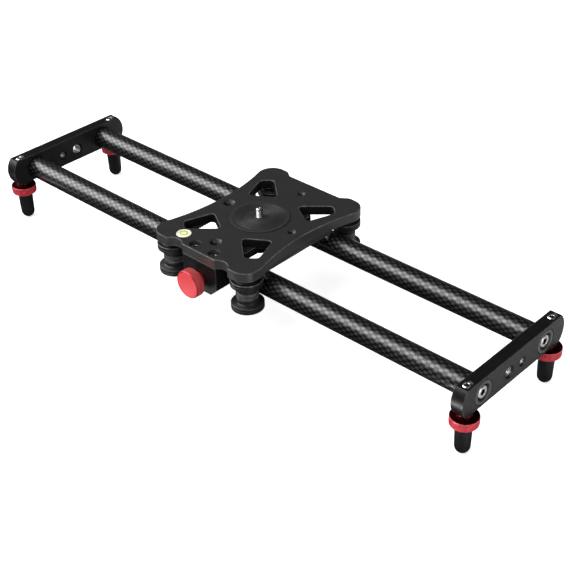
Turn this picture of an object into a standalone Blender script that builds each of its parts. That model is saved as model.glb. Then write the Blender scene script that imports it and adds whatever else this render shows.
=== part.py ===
"""Camera slider: a carriage on four grooved rollers that runs along two carbon
tubes held between two end plates, on four screw-adjusted rubber feet.

Design frame: X runs along the tubes (right is +X), Z is up, and the brake knob
is at the front (-Y).  The tube axes lie at z = 0, symmetric about x = 0 and
y = 0.  The empty "slider_origin" lifts that frame so that the world origin is
the centre of the bottom of the whole slider.  All lengths are millimetres.
Sizes ending in _X, _Y or _Z are places; _R is a radius and _HALF a half length.
"""

import math

import bmesh
import bpy
from mathutils import Matrix

MM = 0.001
GAP = 0.3                      # air between neighbouring pieces
SEAT_GAP = 0.25                # closer gap of pieces that sit in the deck
OVERRUN = 1.0                  # how far most cutters and joined lumps pass a face
BIG_THREAD_R = 9.525 / 2       # 3/8 inch
SMALL_THREAD_R = 6.35 / 2      # 1/4 inch
TURNED_ANGLE = 32              # edges sharper than this, in degrees, shade sharp
FLAT_ANGLE = 25                # the same for flat pieces

# ---- rails ---------------------------------------------------------------
TUBE_R = 11.0
TUBE_WALL = 1.5
RAIL_Y = 44.1                  # half the spacing of the tube axes
# ---- end plates ----------------------------------------------------------
PLATE_IN_X = 276.2             # inner face of each end plate
PLATE_T = 12.0
PLATE_MID_X = PLATE_IN_X + PLATE_T / 2
PLATE_OUT_X = PLATE_IN_X + PLATE_T
PLATE_TOP = 14.8
PLATE_BOTTOM = -12.7
PLATE_HALF_FLAT = 66.6         # half length of the flat top and bottom
PLATE_HALF_MAX = 72.2          # half length over the bulged ends
PLATE_CHAMFER = 0.5
SOCKET_R = 11.2                # pocket that takes the tube end
SOCKET_DEPTH = 4.4
CUP_SEAT_R = 11.15             # recess that takes the cup washer
CUP_SEAT_DEPTH = 6.4
TUBE_SCREW_HOLE_R = 3.4        # hole through the plate and the cup washer
TUBE_BORE_OVERRUN = 2.0
LEG_BORE_HALF = 20.0           # half length of the cutter for a leg's hole
TRIPOD_Z = -0.9                # height of the tripod threads in the end plates
TRIPOD_BIG_Y = -8.9
TRIPOD_SMALL_Y = 9.8
TRIPOD_CHAMFER = 0.6
# ---- tube ends: z runs outwards from the tube end or the plate's outer face
TUBE_END_X = PLATE_IN_X + SOCKET_DEPTH - GAP
INSERT_R = TUBE_R - TUBE_WALL - GAP
INSERT_LENGTH = 24.0
INSERT_BORE_R = 3.3
CUP_R = 10.9
CUP_INNER_R = 7.7
CUP_RIM_Z = -0.1
CUP_FLOOR_Z = -5.1
CUP_BOTTOM_Z = -6.1
TUBE_SCREW_HEAD_R = 5.8
TUBE_SCREW_R = 3.0
TUBE_SCREW_TOP_Z = -0.8
TUBE_SCREW_NECK_Z = -4.8
TUBE_SCREW_END_Z = -30.0
TUBE_SCREW_FLATS = 5.0
TUBE_SCREW_SOCKET_Z = -3.4
# ---- legs ----------------------------------------------------------------
LEG_Y = 59.8
STUD_R = 3.8
STUD_HOLE_R = 4.05
STUD_TOP = 14.6
STUD_BOTTOM = -37.0
STUD_FLATS = 4.0
STUD_SOCKET_DEPTH = 4.0
RING_R = 12.5
RING_TOP = -15.8
RING_BOTTOM = RING_TOP - 8.4
RING_CHAMFER = 0.9
RING_BOSS_R = 6.6
FOOT_TOP_R = 7.7
FOOT_LOW_R = 6.8
FOOT_TOP = -24.6
FOOT_DOME = -46.7              # where the domed tip begins
FOOT_TIP = -53.5
FOOT_FLAT_R = 2.6
FOOT_DOME_STEPS = 4
# ---- rollers -------------------------------------------------------------
ROLLER_X = 46.6
ROLLER_Y = 65.6
ROLLER_R = 15.0
WAIST_R = 10.25                # bottom of the groove
ROLLER_HALF = 15.2
RIM_IN = 9.3                   # half height of the groove at the rims
WAIST_HALF = 7.5               # half height of the groove at its bottom
ROLLER_BORE_R = 5.0
ROLLER_POCKET_R = 9.4          # wide pocket in the roller's lower end
LOWER_SEAT_BOTTOM = -11.7
LOWER_SEAT_TOP = -6.3
UPPER_SEAT_BOTTOM = 9.9
AXLE_R = 3.0
AXLE_TOP = 25.8
AXLE_HEAD_R = 5.0
AXLE_HEAD_BOTTOM = -15.0
AXLE_FLATS = 4.0
AXLE_SOCKET_DEPTH = 2.0
BEARING_R = 6.5
BEARING_BORE_R = AXLE_R + GAP
BEARING_H = 4.8
BEARING_UPPER_Z = 12.5
BEARING_LOWER_Z = -9.0
SPACER_R = 5.0
SPACER_BOTTOM = 15.3
# ---- carriage deck -------------------------------------------------------
CARRIAGE_X = 3.4               # carriage centre at rest
DECK_TOP = 28.5
DECK_T = 9.5
DECK_BOTTOM = DECK_TOP - DECK_T
DECK_CHAMFER = 0.6
LOBE_R = 15.0
LOBE_Y = ROLLER_Y + LOBE_R     # outermost y of the lobes
WAIST_X = 51.7                 # half width of the deck between the rollers
BACK_Y = 75.2                  # rear edge between the lobes
BACK_OUTER_X = 39.5            # the rear edge slopes in from here
BACK_INNER_X = 32.0            # to here
BACK_FILLET_R = 7.0
TAB_Y = 78.6                   # front tab over the brake block
NOTCH_R = 10.7                 # scallops beside the tab
NOTCH_X = 29.0
NOTCH_CENTRE_Y = 85.4
# Corners of the rear right window: x, y, fillet radius.
WINDOW_CORNERS = [(13.0, 37.2, 3.6), (38.0, 59.0, 4.2), (47.6, 50.6, 4.2), (37.5, 22.2, 3.6)]
HUB_R = 37.0                   # boss under the deck, round the stud's head
SPINE_X, SPINE_Y = 24.0, 45.0  # half sizes of the flat spine across the boss
SPINE_RISE = 0.5               # spine's underside above the boss's
SPINE_OVERRUN = 0.8
RIB_IN, RIB_OUT, RIB_HALF = 47.8, 50.9, 30.0
UNDER_Z = 12.0                 # lowest level of boss and side ribs
THREAD_X = 40.0
THREAD_Y = 56.7
AXLE_BORE_DEPTH = 7.2
# Accessory threads: tag, x, y, radius, depth of the chamfered mouth.
THREADS = [("left", -THREAD_X, 0, BIG_THREAD_R, 1.1), ("right", THREAD_X, 0, SMALL_THREAD_R, 0.9),
           ("front", 0, -THREAD_Y, BIG_THREAD_R, 1.1), ("rear", 0, THREAD_Y, SMALL_THREAD_R, 0.9)]
# ---- pieces in the deck --------------------------------------------------
DISC_R = 27.8
DISC_RISE = 0.9                # disc's top above the deck
DISC_SINK = 1.4                # depth of its recess
CAM_HOLE_R = 3.5
CAM_STUD_R = SMALL_THREAD_R
CAM_STUD_TOP = DECK_TOP + DISC_RISE + 9.0
CAM_STUD_CHAMFER = 0.8
CAM_HEAD_R = 6.6
CAM_HEAD_BOTTOM = DECK_BOTTOM + 0.4
CAM_HEAD_SEAT_R = 7.0
CAM_HEAD_SEAT_Z = DECK_BOTTOM + 4.4
CAM_FLATS = 4.8
CAM_SOCKET_TOP = DECK_BOTTOM + 3
LEVEL_X, LEVEL_Y, LEVEL_R = -32.4, -65.0, 6.8
LEVEL_FLOOR = 23.6
LEVEL_CASE_TOP = DECK_TOP - 0.1
LEVEL_CASE_FLOOR = LEVEL_FLOOR + 1.4
LEVEL_CASE_WALL = 1.1
VIAL_R = LEVEL_R - 1.4
VIAL_BOTTOM = LEVEL_FLOOR + 1.7
# Domed top of the vial: share of its radius, height above the deck's top.
VIAL_DOME = [(0, 0.25), (0.6, 0.05), (1, -0.6)]
# ---- brake ---------------------------------------------------------------
BLOCK_HALF = 21.0
BLOCK_LOW_HALF = 12.5
BLOCK_TOP = DECK_TOP - DECK_T - GAP
BLOCK_SHOULDER = -4.0
BLOCK_BOTTOM = -12.3
BLOCK_FRONT = -78.4
BLOCK_REAR = -57.4
BLOCK_CHAMFER = 0.5
BRAKE_Z = 0.9
PAD_R = 6.0
PAD_FRONT = -65.3
PAD_REAR = -RAIL_Y - TUBE_R - 0.4
PAD_POCKET_SPARE = 1.6         # pocket depth in front of the pad
BRAKE_SCREW_R = 3.0
BRAKE_HOLE_R = 3.3             # in the block and in the knob
KNOB_R = 13.5
KNOB_FACE = -94.2
KNOB_BACK = -85.0
KNOB_CHAMFER = 0.8
KNOB_NECK_R = 6.6
KNOB_NECK_END = -79.2
BRAKE_SCREW_END = KNOB_FACE + 5.5
KNOB_BORE_END = KNOB_FACE + 5.2
# The two clamp screws stand at +/-CLAMP_X.
CLAMP_X, CLAMP_Y = 11.9, -70.5
CLAMP_SEAT_R = 5.4
CLAMP_SEAT_Z = DECK_BOTTOM + 1.6
CLAMP_HOLE_R = 2.9
CLAMP_THREAD_R = 2.8
CLAMP_THREAD_DEPTH = 12.0
CLAMP_HEAD_R = 4.5
CLAMP_HEAD_TOP = DECK_TOP - 3.4
CLAMP_SCREW_R = 2.5
CLAMP_SCREW_DEPTH = 11.5
CLAMP_FLATS = 4.0
CLAMP_SOCKET_DEPTH = 2.4

# World origin: centre of the bottom of the box around the whole slider.
REACH_FRONT = -KNOB_FACE
ORIGIN_SHIFT = (0.0, (REACH_FRONT - LOBE_Y) / 2, -FOOT_TIP)

# Rotations of a piece.
HALF_PI = math.pi / 2
UNTURNED = (0, 0, 0)
ALONG_X = (0, HALF_PI, 0)          # own +Z becomes +X
ALONG_MINUS_X = (0, -HALF_PI, 0)   # own +Z becomes -X
ALONG_Y = (-HALF_PI, 0, 0)         # own +Z becomes +Y
FACING_FRONT = (HALF_PI, 0, 0)     # own X, Y, Z become X, Z, -Y
UPRIGHT = (HALF_PI, 0, HALF_PI)    # own X, Y, Z become Y, Z, X
UPRIGHT_LEFT = (HALF_PI, 0, HALF_PI + math.pi)

# Corners with the signs that carry a place at the front right to each of them.
CORNERS = [("right_front", 1, 1), ("right_rear", 1, -1),
           ("left_front", -1, 1), ("left_rear", -1, -1)]
SIDES = [("left", -1), ("right", 1)]

# =========================================================================
# Scene, collections and materials
# =========================================================================
for old in list(bpy.data.objects):
    bpy.data.objects.remove(old, do_unlink=True)

parts = bpy.data.collections.new("camera_slider")
cutters = bpy.data.collections.new("cutters")
bpy.context.scene.collection.children.link(parts)
bpy.context.scene.collection.children.link(cutters)
cutters.hide_render = True


def material(name, colour, roughness, metallic=0.0):
    mat = bpy.data.materials.new(name)
    mat.use_nodes = True
    shader = mat.node_tree.nodes["Principled BSDF"]
    shader.inputs["Base Color"].default_value = (*colour, 1.0)
    shader.inputs["Roughness"].default_value = roughness
    shader.inputs["Metallic"].default_value = metallic
    return mat


CARBON = material("carbon_twill", colour=(0.022, 0.022, 0.024), roughness=0.22)
BLACK = material("black_anodised", colour=(0.020, 0.020, 0.021), roughness=0.42, metallic=0.6)
DECK_BLACK = material("black_anodised_deck", colour=(0.030, 0.030, 0.031),
                      roughness=0.5, metallic=0.6)
GREY = material("grey_anodised", colour=(0.16, 0.16, 0.16), roughness=0.35, metallic=0.8)
RED = material("red_anodised", colour=(0.55, 0.012, 0.022), roughness=0.3, metallic=0.7)
RUBBER = material("black_rubber", colour=(0.014, 0.014, 0.015), roughness=0.75)
STEEL = material("bright_steel", colour=(0.62, 0.62, 0.62), roughness=0.22, metallic=1.0)
BEARING_STEEL = material("bearing_steel", colour=(0.5, 0.5, 0.52), roughness=0.3, metallic=1.0)
NYLON = material("white_nylon", colour=(0.78, 0.78, 0.74), roughness=0.5)
LEVEL_CASE = material("level_case", colour=(0.75, 0.78, 0.62), roughness=0.4)
LEVEL_FLUID = material("level_fluid", colour=(0.72, 0.85, 0.14), roughness=0.1)


# =========================================================================
# Objects
# =========================================================================
def empty(name, location, parent=None):
    obj = bpy.data.objects.new(name, None)
    obj.empty_display_size = 0.01
    parts.objects.link(obj)
    obj.parent = parent
    obj.location = [v * MM for v in location]
    return obj


root = empty("slider_origin", ORIGIN_SHIFT)
carriage = empty("carriage_origin", (CARRIAGE_X, 0, 0), root)


def add(name, mesh, mat, parent, location=(0, 0, 0), rotation=UNTURNED, collection=parts):
    obj = bpy.data.objects.new(name, mesh)
    collection.objects.link(obj)
    obj.parent = parent
    obj.location = [v * MM for v in location]
    obj.rotation_euler = rotation
    if mat is not None and not mesh.materials:
        mesh.materials.append(mat)
    if collection is cutters:
        obj.hide_render = True
        obj.display_type = "WIRE"
    return obj


def copy_of(source, name, location, rotation=UNTURNED):
    """Another object on the same mesh and parent."""
    return add(name, source.data, None, source.parent, location, rotation)


def copy_to_corners(source, kind, place, outward=False):
    """Copies at all corners but the one the source already takes.  The place is
    the front right one; outward pieces point away from x = 0."""
    for corner, x_sign, y_sign in CORNERS:
        name = f"{kind}_{corner}"
        if name == source.name:
            continue
        rotation = UNTURNED
        if outward:
            rotation = ALONG_X if x_sign > 0 else ALONG_MINUS_X
        copy_of(source, name, (x_sign * place[0], y_sign * place[1], place[2]), rotation)


def mesh_from(bm, name):
    mesh = bpy.data.meshes.new(name)
    bm.to_mesh(mesh)
    bm.free()
    return mesh


def weld(mesh, distance, recalc_normals=False):
    bm = bmesh.new()
    bm.from_mesh(mesh)
    bmesh.ops.remove_doubles(bm, verts=bm.verts, dist=distance)
    if recalc_normals:
        bmesh.ops.recalc_face_normals(bm, faces=bm.faces)
    bm.to_mesh(mesh)
    bm.free()


def shade(mesh, angle):
    mesh.shade_smooth()
    mesh.set_sharp_from_angle(angle=math.radians(angle))


def evaluated_mesh(obj):
    bpy.context.view_layer.update()
    graph = bpy.context.evaluated_depsgraph_get()
    return bpy.data.meshes.new_from_object(obj.evaluated_get(graph))


def bake(obj, angle=TURNED_ANGLE):
    """Make the object's evaluated shape its own mesh and drop its modifiers."""
    mesh = evaluated_mesh(obj)
    mesh.name = obj.name
    weld(mesh, distance=2e-7)
    mats = list(obj.data.materials)
    obj.modifiers.clear()
    obj.data = mesh
    # Evaluation may drop the material slots.
    if not mesh.materials:
        for mat in mats:
            mesh.materials.append(mat)
    shade(mesh, angle)
    return obj


# =========================================================================
# Turned pieces and cutters
# =========================================================================
def stepped(sections, end):
    """Profile of a solid of stacked cylinders: (radius, upper z) of each from
    the top down, and the z where the last one ends."""
    profile = [(0, sections[0][1])]
    bottoms = [z for _, z in sections[1:]] + [end]
    for (radius, top), bottom in zip(sections, bottoms):
        profile += [(radius, top), (radius, bottom)]
    return profile + [(0, end)]


def rod(radius, top, bottom):
    return stepped([(radius, top)], bottom)


def sleeve(outer, inner, top, bottom):
    """Profile of a plain hollow cylinder, for a ring."""
    return [(outer, top), (outer, bottom), (inner, bottom), (inner, top)]


def turned(name, profile, mat, parent, steps, location=(0, 0, 0), rotation=UNTURNED,
           ring=False, collection=parts):
    """A piece turned about its own Z axis.  The profile is (radius, z) pairs;
    a ring's profile closes on itself."""
    bm = bmesh.new()
    points = [bm.verts.new((radius * MM, 0, z * MM)) for radius, z in profile]
    for start, end in zip(points, points[1:]):
        bm.edges.new((start, end))
    if ring:
        bm.edges.new((points[-1], points[0]))
    obj = add(name, mesh_from(bm, name), mat, parent, location, rotation, collection)
    screw = obj.modifiers.new("turn", "SCREW")
    screw.axis = "Z"
    screw.steps = screw.render_steps = steps
    screw.use_merge_vertices = True
    screw.merge_threshold = 1e-6
    return bake(obj)


def combine(target, tool, operation):
    boolean = target.modifiers.new(tool.name, "BOOLEAN")
    boolean.operation = operation
    boolean.solver = "EXACT"
    boolean.object = tool


def bore(target, name, profile, steps, location=(0, 0, 0), rotation=UNTURNED):
    """Cut a turned shape out of the target."""
    tool = turned(name, profile, None, target.parent, steps, location, rotation,
                  collection=cutters)
    combine(target, tool, "DIFFERENCE")


def hex_socket(target, name, flats, bottom, top):
    """Cut a hexagonal prism out of the target, along the target's own Z axis."""
    bm = bmesh.new()
    radius = flats / math.sqrt(3) * MM
    bmesh.ops.create_cone(bm, cap_ends=True, segments=6, radius1=radius, radius2=radius,
                          depth=(top - bottom) * MM,
                          matrix=Matrix.Translation((0, 0, (bottom + top) / 2 * MM)))
    tool = add(name, mesh_from(bm, name), None, target.parent, collection=cutters)
    tool.location = target.location
    tool.rotation_euler = target.rotation_euler
    combine(target, tool, "DIFFERENCE")


def join_brick(target, name, low, high):
    """Join a box between two corners to the target."""
    bm = bmesh.new()
    bmesh.ops.create_cube(bm, size=MM)
    for vert in bm.verts:
        for i in range(3):
            vert.co[i] = (low[i] if vert.co[i] < 0 else high[i]) * MM
    tool = add(name, mesh_from(bm, name), None, target.parent, collection=cutters)
    combine(target, tool, "UNION")


# =========================================================================
# Flat pieces
# =========================================================================
def arc(centre_x, centre_y, radius, start, end, steps):
    """steps + 1 points along an arc, angles in degrees."""
    points = []
    for i in range(steps + 1):
        angle = math.radians(start + (end - start) * i / steps)
        points.append((centre_x + radius * math.cos(angle), centre_y + radius * math.sin(angle)))
    return points


def direction(start, end):
    length = math.hypot(end[0] - start[0], end[1] - start[1])
    return (end[0] - start[0]) / length, (end[1] - start[1]) / length


def fillet(before, corner, after, radius, steps):
    """Points that round a corner between the lines to its two neighbours."""
    back_x, back_y = direction(corner, before)
    on_x, on_y = direction(corner, after)
    half_angle = math.acos(back_x * on_x + back_y * on_y) / 2
    reach = radius / math.tan(half_angle)
    mid_x, mid_y = direction((0, 0), (back_x + on_x, back_y + on_y))
    centre_x = corner[0] + mid_x * radius / math.sin(half_angle)
    centre_y = corner[1] + mid_y * radius / math.sin(half_angle)
    start = math.atan2(corner[1] + back_y * reach - centre_y,
                       corner[0] + back_x * reach - centre_x)
    end = math.atan2(corner[1] + on_y * reach - centre_y,
                     corner[0] + on_x * reach - centre_x)
    turn = (end - start + math.pi) % (2 * math.pi) - math.pi
    return arc(centre_x, centre_y, radius, math.degrees(start), math.degrees(start + turn), steps)


def mirrored(points):
    """The points mirrored in x = 0, in reverse order."""
    return [(-x, y) for x, y in reversed(points)]


def flat(name, loops, thickness, chamfer, mat, parent, location, rotation=UNTURNED):
    """A flat piece from closed outlines in its own XY plane; the first is the
    rim and the others are windows.  Its mid plane is at its own z = 0."""
    curve = bpy.data.curves.new(name, "CURVE")
    curve.dimensions = "2D"
    curve.fill_mode = "BOTH"
    curve.extrude = (thickness / 2 - chamfer) * MM
    curve.bevel_depth = chamfer * MM
    curve.bevel_resolution = 0
    curve.offset = -chamfer * MM
    for loop in loops:
        spline = curve.splines.new("POLY")
        spline.points.add(len(loop) - 1)
        for point, (x, y) in zip(spline.points, loop):
            point.co = (x * MM, y * MM, 0, 1)
        spline.use_cyclic_u = True
    guide = bpy.data.objects.new(name + "_outline", curve)
    parts.objects.link(guide)
    mesh = evaluated_mesh(guide)
    bpy.data.objects.remove(guide, do_unlink=True)
    mesh.name = name
    weld(mesh, distance=1e-6, recalc_normals=True)
    mesh.materials.clear()      # add() fills the only slot
    shade(mesh, FLAT_ANGLE)
    return add(name, mesh, mat, parent, location, rotation)


# =========================================================================
# Fixed frame
# =========================================================================
def build_tubes():
    """Hollow tubes with both ends inside the end plates' pockets."""
    profile = sleeve(TUBE_R, TUBE_R - TUBE_WALL, TUBE_END_X, -TUBE_END_X)
    tube = turned("rail_tube_front", profile, CARBON, root, 32, (0, -RAIL_Y, 0), ALONG_X,
                  ring=True)
    copy_of(tube, "rail_tube_rear", (0, RAIL_Y, 0), ALONG_X)


def plate_outline():
    """End plate seen along X: flat top and bottom, bulged ends."""
    mid = (PLATE_TOP + PLATE_BOTTOM) / 2
    half = (PLATE_TOP - PLATE_BOTTOM) / 2
    bulge = PLATE_HALF_MAX - PLATE_HALF_FLAT
    radius = (half * half + bulge * bulge) / (2 * bulge)
    swing = math.degrees(math.asin(half / radius))
    centre = PLATE_HALF_MAX - radius
    return (arc(centre, mid, radius, -swing, swing, 6)
            + arc(-centre, mid, radius, 180 - swing, 180 + swing, 6))


def build_end_plates():
    half = PLATE_T / 2
    plate = flat("end_plate_right", [plate_outline()], PLATE_T, PLATE_CHAMFER, BLACK, root,
                 (PLATE_MID_X, 0, 0), UPRIGHT)
    # Stepped bore: cup seat at the outer face, clearance hole, tube pocket.
    tube_bore = stepped([(CUP_SEAT_R, half + TUBE_BORE_OVERRUN),
                         (TUBE_SCREW_HOLE_R, half - CUP_SEAT_DEPTH),
                         (SOCKET_R, -half + SOCKET_DEPTH)], -half - TUBE_BORE_OVERRUN)
    leg_bore = rod(STUD_HOLE_R, LEG_BORE_HALF, -LEG_BORE_HALF)
    for side, sign in (("front", -1), ("rear", 1)):
        bore(plate, f"tube_bore_{side}", tube_bore, 24,
             (PLATE_MID_X, sign * RAIL_Y, 0), ALONG_X)
        bore(plate, f"leg_bore_{side}", leg_bore, 16, (PLATE_MID_X, sign * LEG_Y, 0))
    # Tripod threads, chamfered at both faces.
    for size, y, radius in (("big", TRIPOD_BIG_Y, BIG_THREAD_R),
                            ("small", TRIPOD_SMALL_Y, SMALL_THREAD_R)):
        wide = radius + (TRIPOD_CHAMFER + OVERRUN)
        profile = [(0, half + OVERRUN), (wide, half + OVERRUN), (radius, half - TRIPOD_CHAMFER),
                   (radius, -half + TRIPOD_CHAMFER), (wide, -half - OVERRUN),
                   (0, -half - OVERRUN)]
        bore(plate, f"tripod_bore_{size}", profile, 16, (PLATE_MID_X, y, TRIPOD_Z), ALONG_X)
    bake(plate, FLAT_ANGLE)
    # The other end plate is the same part turned half a turn about Z.
    copy_of(plate, "end_plate_left", (-PLATE_MID_X, 0, 0), UPRIGHT_LEFT)


def build_tube_inserts():
    """Sleeves inside the tube ends."""
    place = (TUBE_END_X, -RAIL_Y, 0)
    insert = turned("tube_insert_right_front", sleeve(INSERT_R, INSERT_BORE_R, 0, -INSERT_LENGTH),
                    GREY, root, 16, place, ALONG_X, ring=True)
    copy_to_corners(insert, "tube_insert", place, outward=True)


def build_cup_washers():
    place = (PLATE_OUT_X, -RAIL_Y, 0)
    profile = [(CUP_R, CUP_RIM_Z), (CUP_R, CUP_BOTTOM_Z), (TUBE_SCREW_HOLE_R, CUP_BOTTOM_Z),
               (TUBE_SCREW_HOLE_R, CUP_FLOOR_Z), (CUP_INNER_R, CUP_FLOOR_Z),
               (CUP_INNER_R, CUP_RIM_Z)]
    cup = turned("cup_washer_right_front", profile, GREY, root, 20, place, ALONG_X, ring=True)
    copy_to_corners(cup, "cup_washer", place, outward=True)


def build_tube_screws():
    place = (PLATE_OUT_X, -RAIL_Y, 0)
    profile = stepped([(TUBE_SCREW_HEAD_R, TUBE_SCREW_TOP_Z), (TUBE_SCREW_R, TUBE_SCREW_NECK_Z)],
                      TUBE_SCREW_END_Z)
    screw = turned("tube_screw_right_front", profile, STEEL, root, 18, place, ALONG_X)
    hex_socket(screw, "tube_screw_socket", TUBE_SCREW_FLATS, TUBE_SCREW_SOCKET_Z, OVERRUN)
    bake(screw)
    copy_to_corners(screw, "tube_screw", place, outward=True)


# =========================================================================
# Legs: stud with a hex socket in its top end, lock ring, rubber foot
# =========================================================================
LEG_PLACE = (PLATE_MID_X, -LEG_Y, 0)


def build_leg_studs():
    stud = turned("leg_stud_right_front", rod(STUD_R, STUD_TOP, STUD_BOTTOM), STEEL, root, 16,
                  LEG_PLACE)
    hex_socket(stud, "leg_stud_socket", STUD_FLATS, STUD_TOP - STUD_SOCKET_DEPTH,
               STUD_TOP + OVERRUN)
    bake(stud)
    copy_to_corners(stud, "leg_stud", LEG_PLACE)


def build_lock_rings():
    boss_top = PLATE_BOTTOM - GAP
    profile = [(STUD_HOLE_R, boss_top), (RING_BOSS_R, boss_top), (RING_BOSS_R, RING_TOP),
               (RING_R, RING_TOP), (RING_R, RING_BOTTOM + RING_CHAMFER),
               (RING_R - RING_CHAMFER, RING_BOTTOM), (STUD_HOLE_R, RING_BOTTOM)]
    ring = turned("lock_ring_right_front", profile, RED, root, 24, LEG_PLACE, ring=True)
    copy_to_corners(ring, "lock_ring", LEG_PLACE)


def build_rubber_feet():
    """Tapered feet with a domed tip and a blind hole for the stud."""
    profile = [(FOOT_TOP_R, FOOT_TOP), (FOOT_LOW_R, FOOT_DOME)]
    height = FOOT_DOME - FOOT_TIP
    last_angle = math.acos(FOOT_FLAT_R / FOOT_LOW_R)
    for i in range(1, FOOT_DOME_STEPS + 1):
        angle = last_angle * i / FOOT_DOME_STEPS
        profile.append((FOOT_LOW_R * math.cos(angle),
                        FOOT_DOME - height * math.sin(angle) / math.sin(last_angle)))
    hole_bottom = STUD_BOTTOM - GAP
    profile += [(0, FOOT_TIP), (0, hole_bottom), (STUD_HOLE_R, hole_bottom),
                (STUD_HOLE_R, FOOT_TOP)]
    foot = turned("rubber_foot_right_front", profile, RUBBER, root, 18, LEG_PLACE, ring=True)
    copy_to_corners(foot, "rubber_foot", LEG_PLACE)


# =========================================================================
# Carriage deck and the pieces in it
# =========================================================================
def deck_outline():
    """Deck rim: four lobes over the rollers, hollow sides, a recessed rear
    edge and a front tab between two scallops."""
    # Hollow side: a circle that touches the lobes and passes the waist.
    offset = WAIST_X - ROLLER_X
    side_r = (ROLLER_Y * ROLLER_Y + offset * offset - LOBE_R * LOBE_R) / (2 * (LOBE_R - offset))
    swing = math.degrees(math.asin(ROLLER_Y / (side_r + LOBE_R)))
    right = arc(WAIST_X + side_r, 0, side_r, 180 + swing, 180 - swing, 8)
    right += arc(ROLLER_X, ROLLER_Y, LOBE_R, -swing, 90, 8)[1:]
    outer, inner = (BACK_OUTER_X, LOBE_Y), (BACK_INNER_X, BACK_Y)
    right += fillet((ROLLER_X, LOBE_Y), outer, inner, BACK_FILLET_R, 4)
    right += fillet(outer, inner, (0, BACK_Y), BACK_FILLET_R, 4)
    # Front edge, from the left lobe to the middle.
    front = arc(-ROLLER_X, -ROLLER_Y, LOBE_R, 180 + swing, 270, 8)[1:]
    notch_start = math.degrees(math.asin((NOTCH_CENTRE_Y - LOBE_Y) / NOTCH_R))
    notch_end = math.degrees(math.asin((NOTCH_CENTRE_Y - TAB_Y) / NOTCH_R))
    front += arc(-NOTCH_X, -NOTCH_CENTRE_Y, NOTCH_R, 180 - notch_start, notch_end, 6)
    # The front right lobe has one point fewer than the front left one.
    return right + mirrored(right) + front + mirrored(front)[:-1]


def window(x_sign, y_sign):
    """Rounded four-sided window in one quarter of the deck."""
    points = []
    for i, (x, y, radius) in enumerate(WINDOW_CORNERS):
        before = WINDOW_CORNERS[i - 1][:2]
        after = WINDOW_CORNERS[(i + 1) % len(WINDOW_CORNERS)][:2]
        points += fillet(before, (x, y), after, radius, 3)
    points = [(x * x_sign, y * y_sign) for x, y in points]
    # All windows run the same way round.
    return points if x_sign * y_sign > 0 else points[::-1]


def join_deck_underside(deck):
    """Boss and spine under the middle of the deck, one rib under each waist."""
    boss = turned("deck_boss", rod(HUB_R, DECK_BOTTOM + OVERRUN, UNDER_Z), None, carriage, 40,
                  collection=cutters)
    combine(deck, boss, "UNION")
    join_brick(deck, "deck_spine", (-SPINE_X, -SPINE_Y, UNDER_Z + SPINE_RISE),
               (SPINE_X, SPINE_Y, DECK_BOTTOM + SPINE_OVERRUN))
    for tag, sign in SIDES:
        low_x, high_x = sorted((sign * RIB_IN, sign * RIB_OUT))
        join_brick(deck, f"deck_rib_{tag}", (low_x, -RIB_HALF, UNDER_Z),
                   (high_x, RIB_HALF, DECK_BOTTOM + OVERRUN))


def bore_deck(deck):
    above, below = DECK_TOP + OVERRUN, UNDER_Z - OVERRUN
    # Disc recess, stud hole, and a counterbore below for the stud's head.
    profile = stepped([(DISC_R + SEAT_GAP, above), (CAM_HOLE_R, DECK_TOP - DISC_SINK),
                       (CAM_HEAD_SEAT_R, CAM_HEAD_SEAT_Z)], below)
    bore(deck, "disc_recess", profile, 32)
    bore(deck, "level_pocket", rod(LEVEL_R + SEAT_GAP, above, LEVEL_FLOOR), 20,
         (LEVEL_X, LEVEL_Y, 0))
    for tag, x, y, radius, mouth in THREADS:
        profile = [(0, above), (radius + mouth + OVERRUN, above), (radius, DECK_TOP - mouth),
                   (radius, below), (0, below)]
        bore(deck, f"accessory_thread_{tag}", profile, 16, (x, y, 0))
    profile = stepped([(CLAMP_SEAT_R, above), (CLAMP_HOLE_R, CLAMP_SEAT_Z)],
                      DECK_BOTTOM - OVERRUN)
    for tag, sign in SIDES:
        bore(deck, f"clamp_bore_{tag}", profile, 16, (sign * CLAMP_X, CLAMP_Y, 0))
    profile = rod(AXLE_R + GAP, DECK_BOTTOM + AXLE_BORE_DEPTH, DECK_BOTTOM - OVERRUN)
    for corner, x_sign, y_sign in CORNERS:
        bore(deck, f"axle_bore_{corner}", profile, 14,
             (x_sign * ROLLER_X, y_sign * -ROLLER_Y, 0))


def build_deck():
    windows = [window(x_sign, y_sign) for x_sign in (1, -1) for y_sign in (1, -1)]
    deck = flat("carriage_plate", [deck_outline()] + windows, DECK_T, DECK_CHAMFER, DECK_BLACK,
                carriage, (0, 0, DECK_TOP - DECK_T / 2))
    join_deck_underside(deck)
    bore_deck(deck)


def build_friction_disc():
    """Plain ring in the recess, open in the middle for the stud."""
    profile = sleeve(DISC_R, CAM_HOLE_R, DECK_TOP + DISC_RISE, DECK_TOP - DISC_SINK + SEAT_GAP)
    turned("friction_disc", profile, BLACK, carriage, 32, ring=True)


def build_camera_stud():
    """Stud up through the deck, with a round socket head below."""
    head_top = CAM_HEAD_SEAT_Z - GAP
    profile = [(0, CAM_STUD_TOP), (CAM_STUD_R - CAM_STUD_CHAMFER, CAM_STUD_TOP),
               (CAM_STUD_R, CAM_STUD_TOP - CAM_STUD_CHAMFER), (CAM_STUD_R, head_top),
               (CAM_HEAD_R, head_top), (CAM_HEAD_R, CAM_HEAD_BOTTOM), (0, CAM_HEAD_BOTTOM)]
    stud = turned("camera_stud", profile, STEEL, carriage, 18)
    hex_socket(stud, "camera_stud_socket", CAM_FLATS, DECK_BOTTOM - OVERRUN, CAM_SOCKET_TOP)
    shade(stud.data, FLAT_ANGLE)


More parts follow.
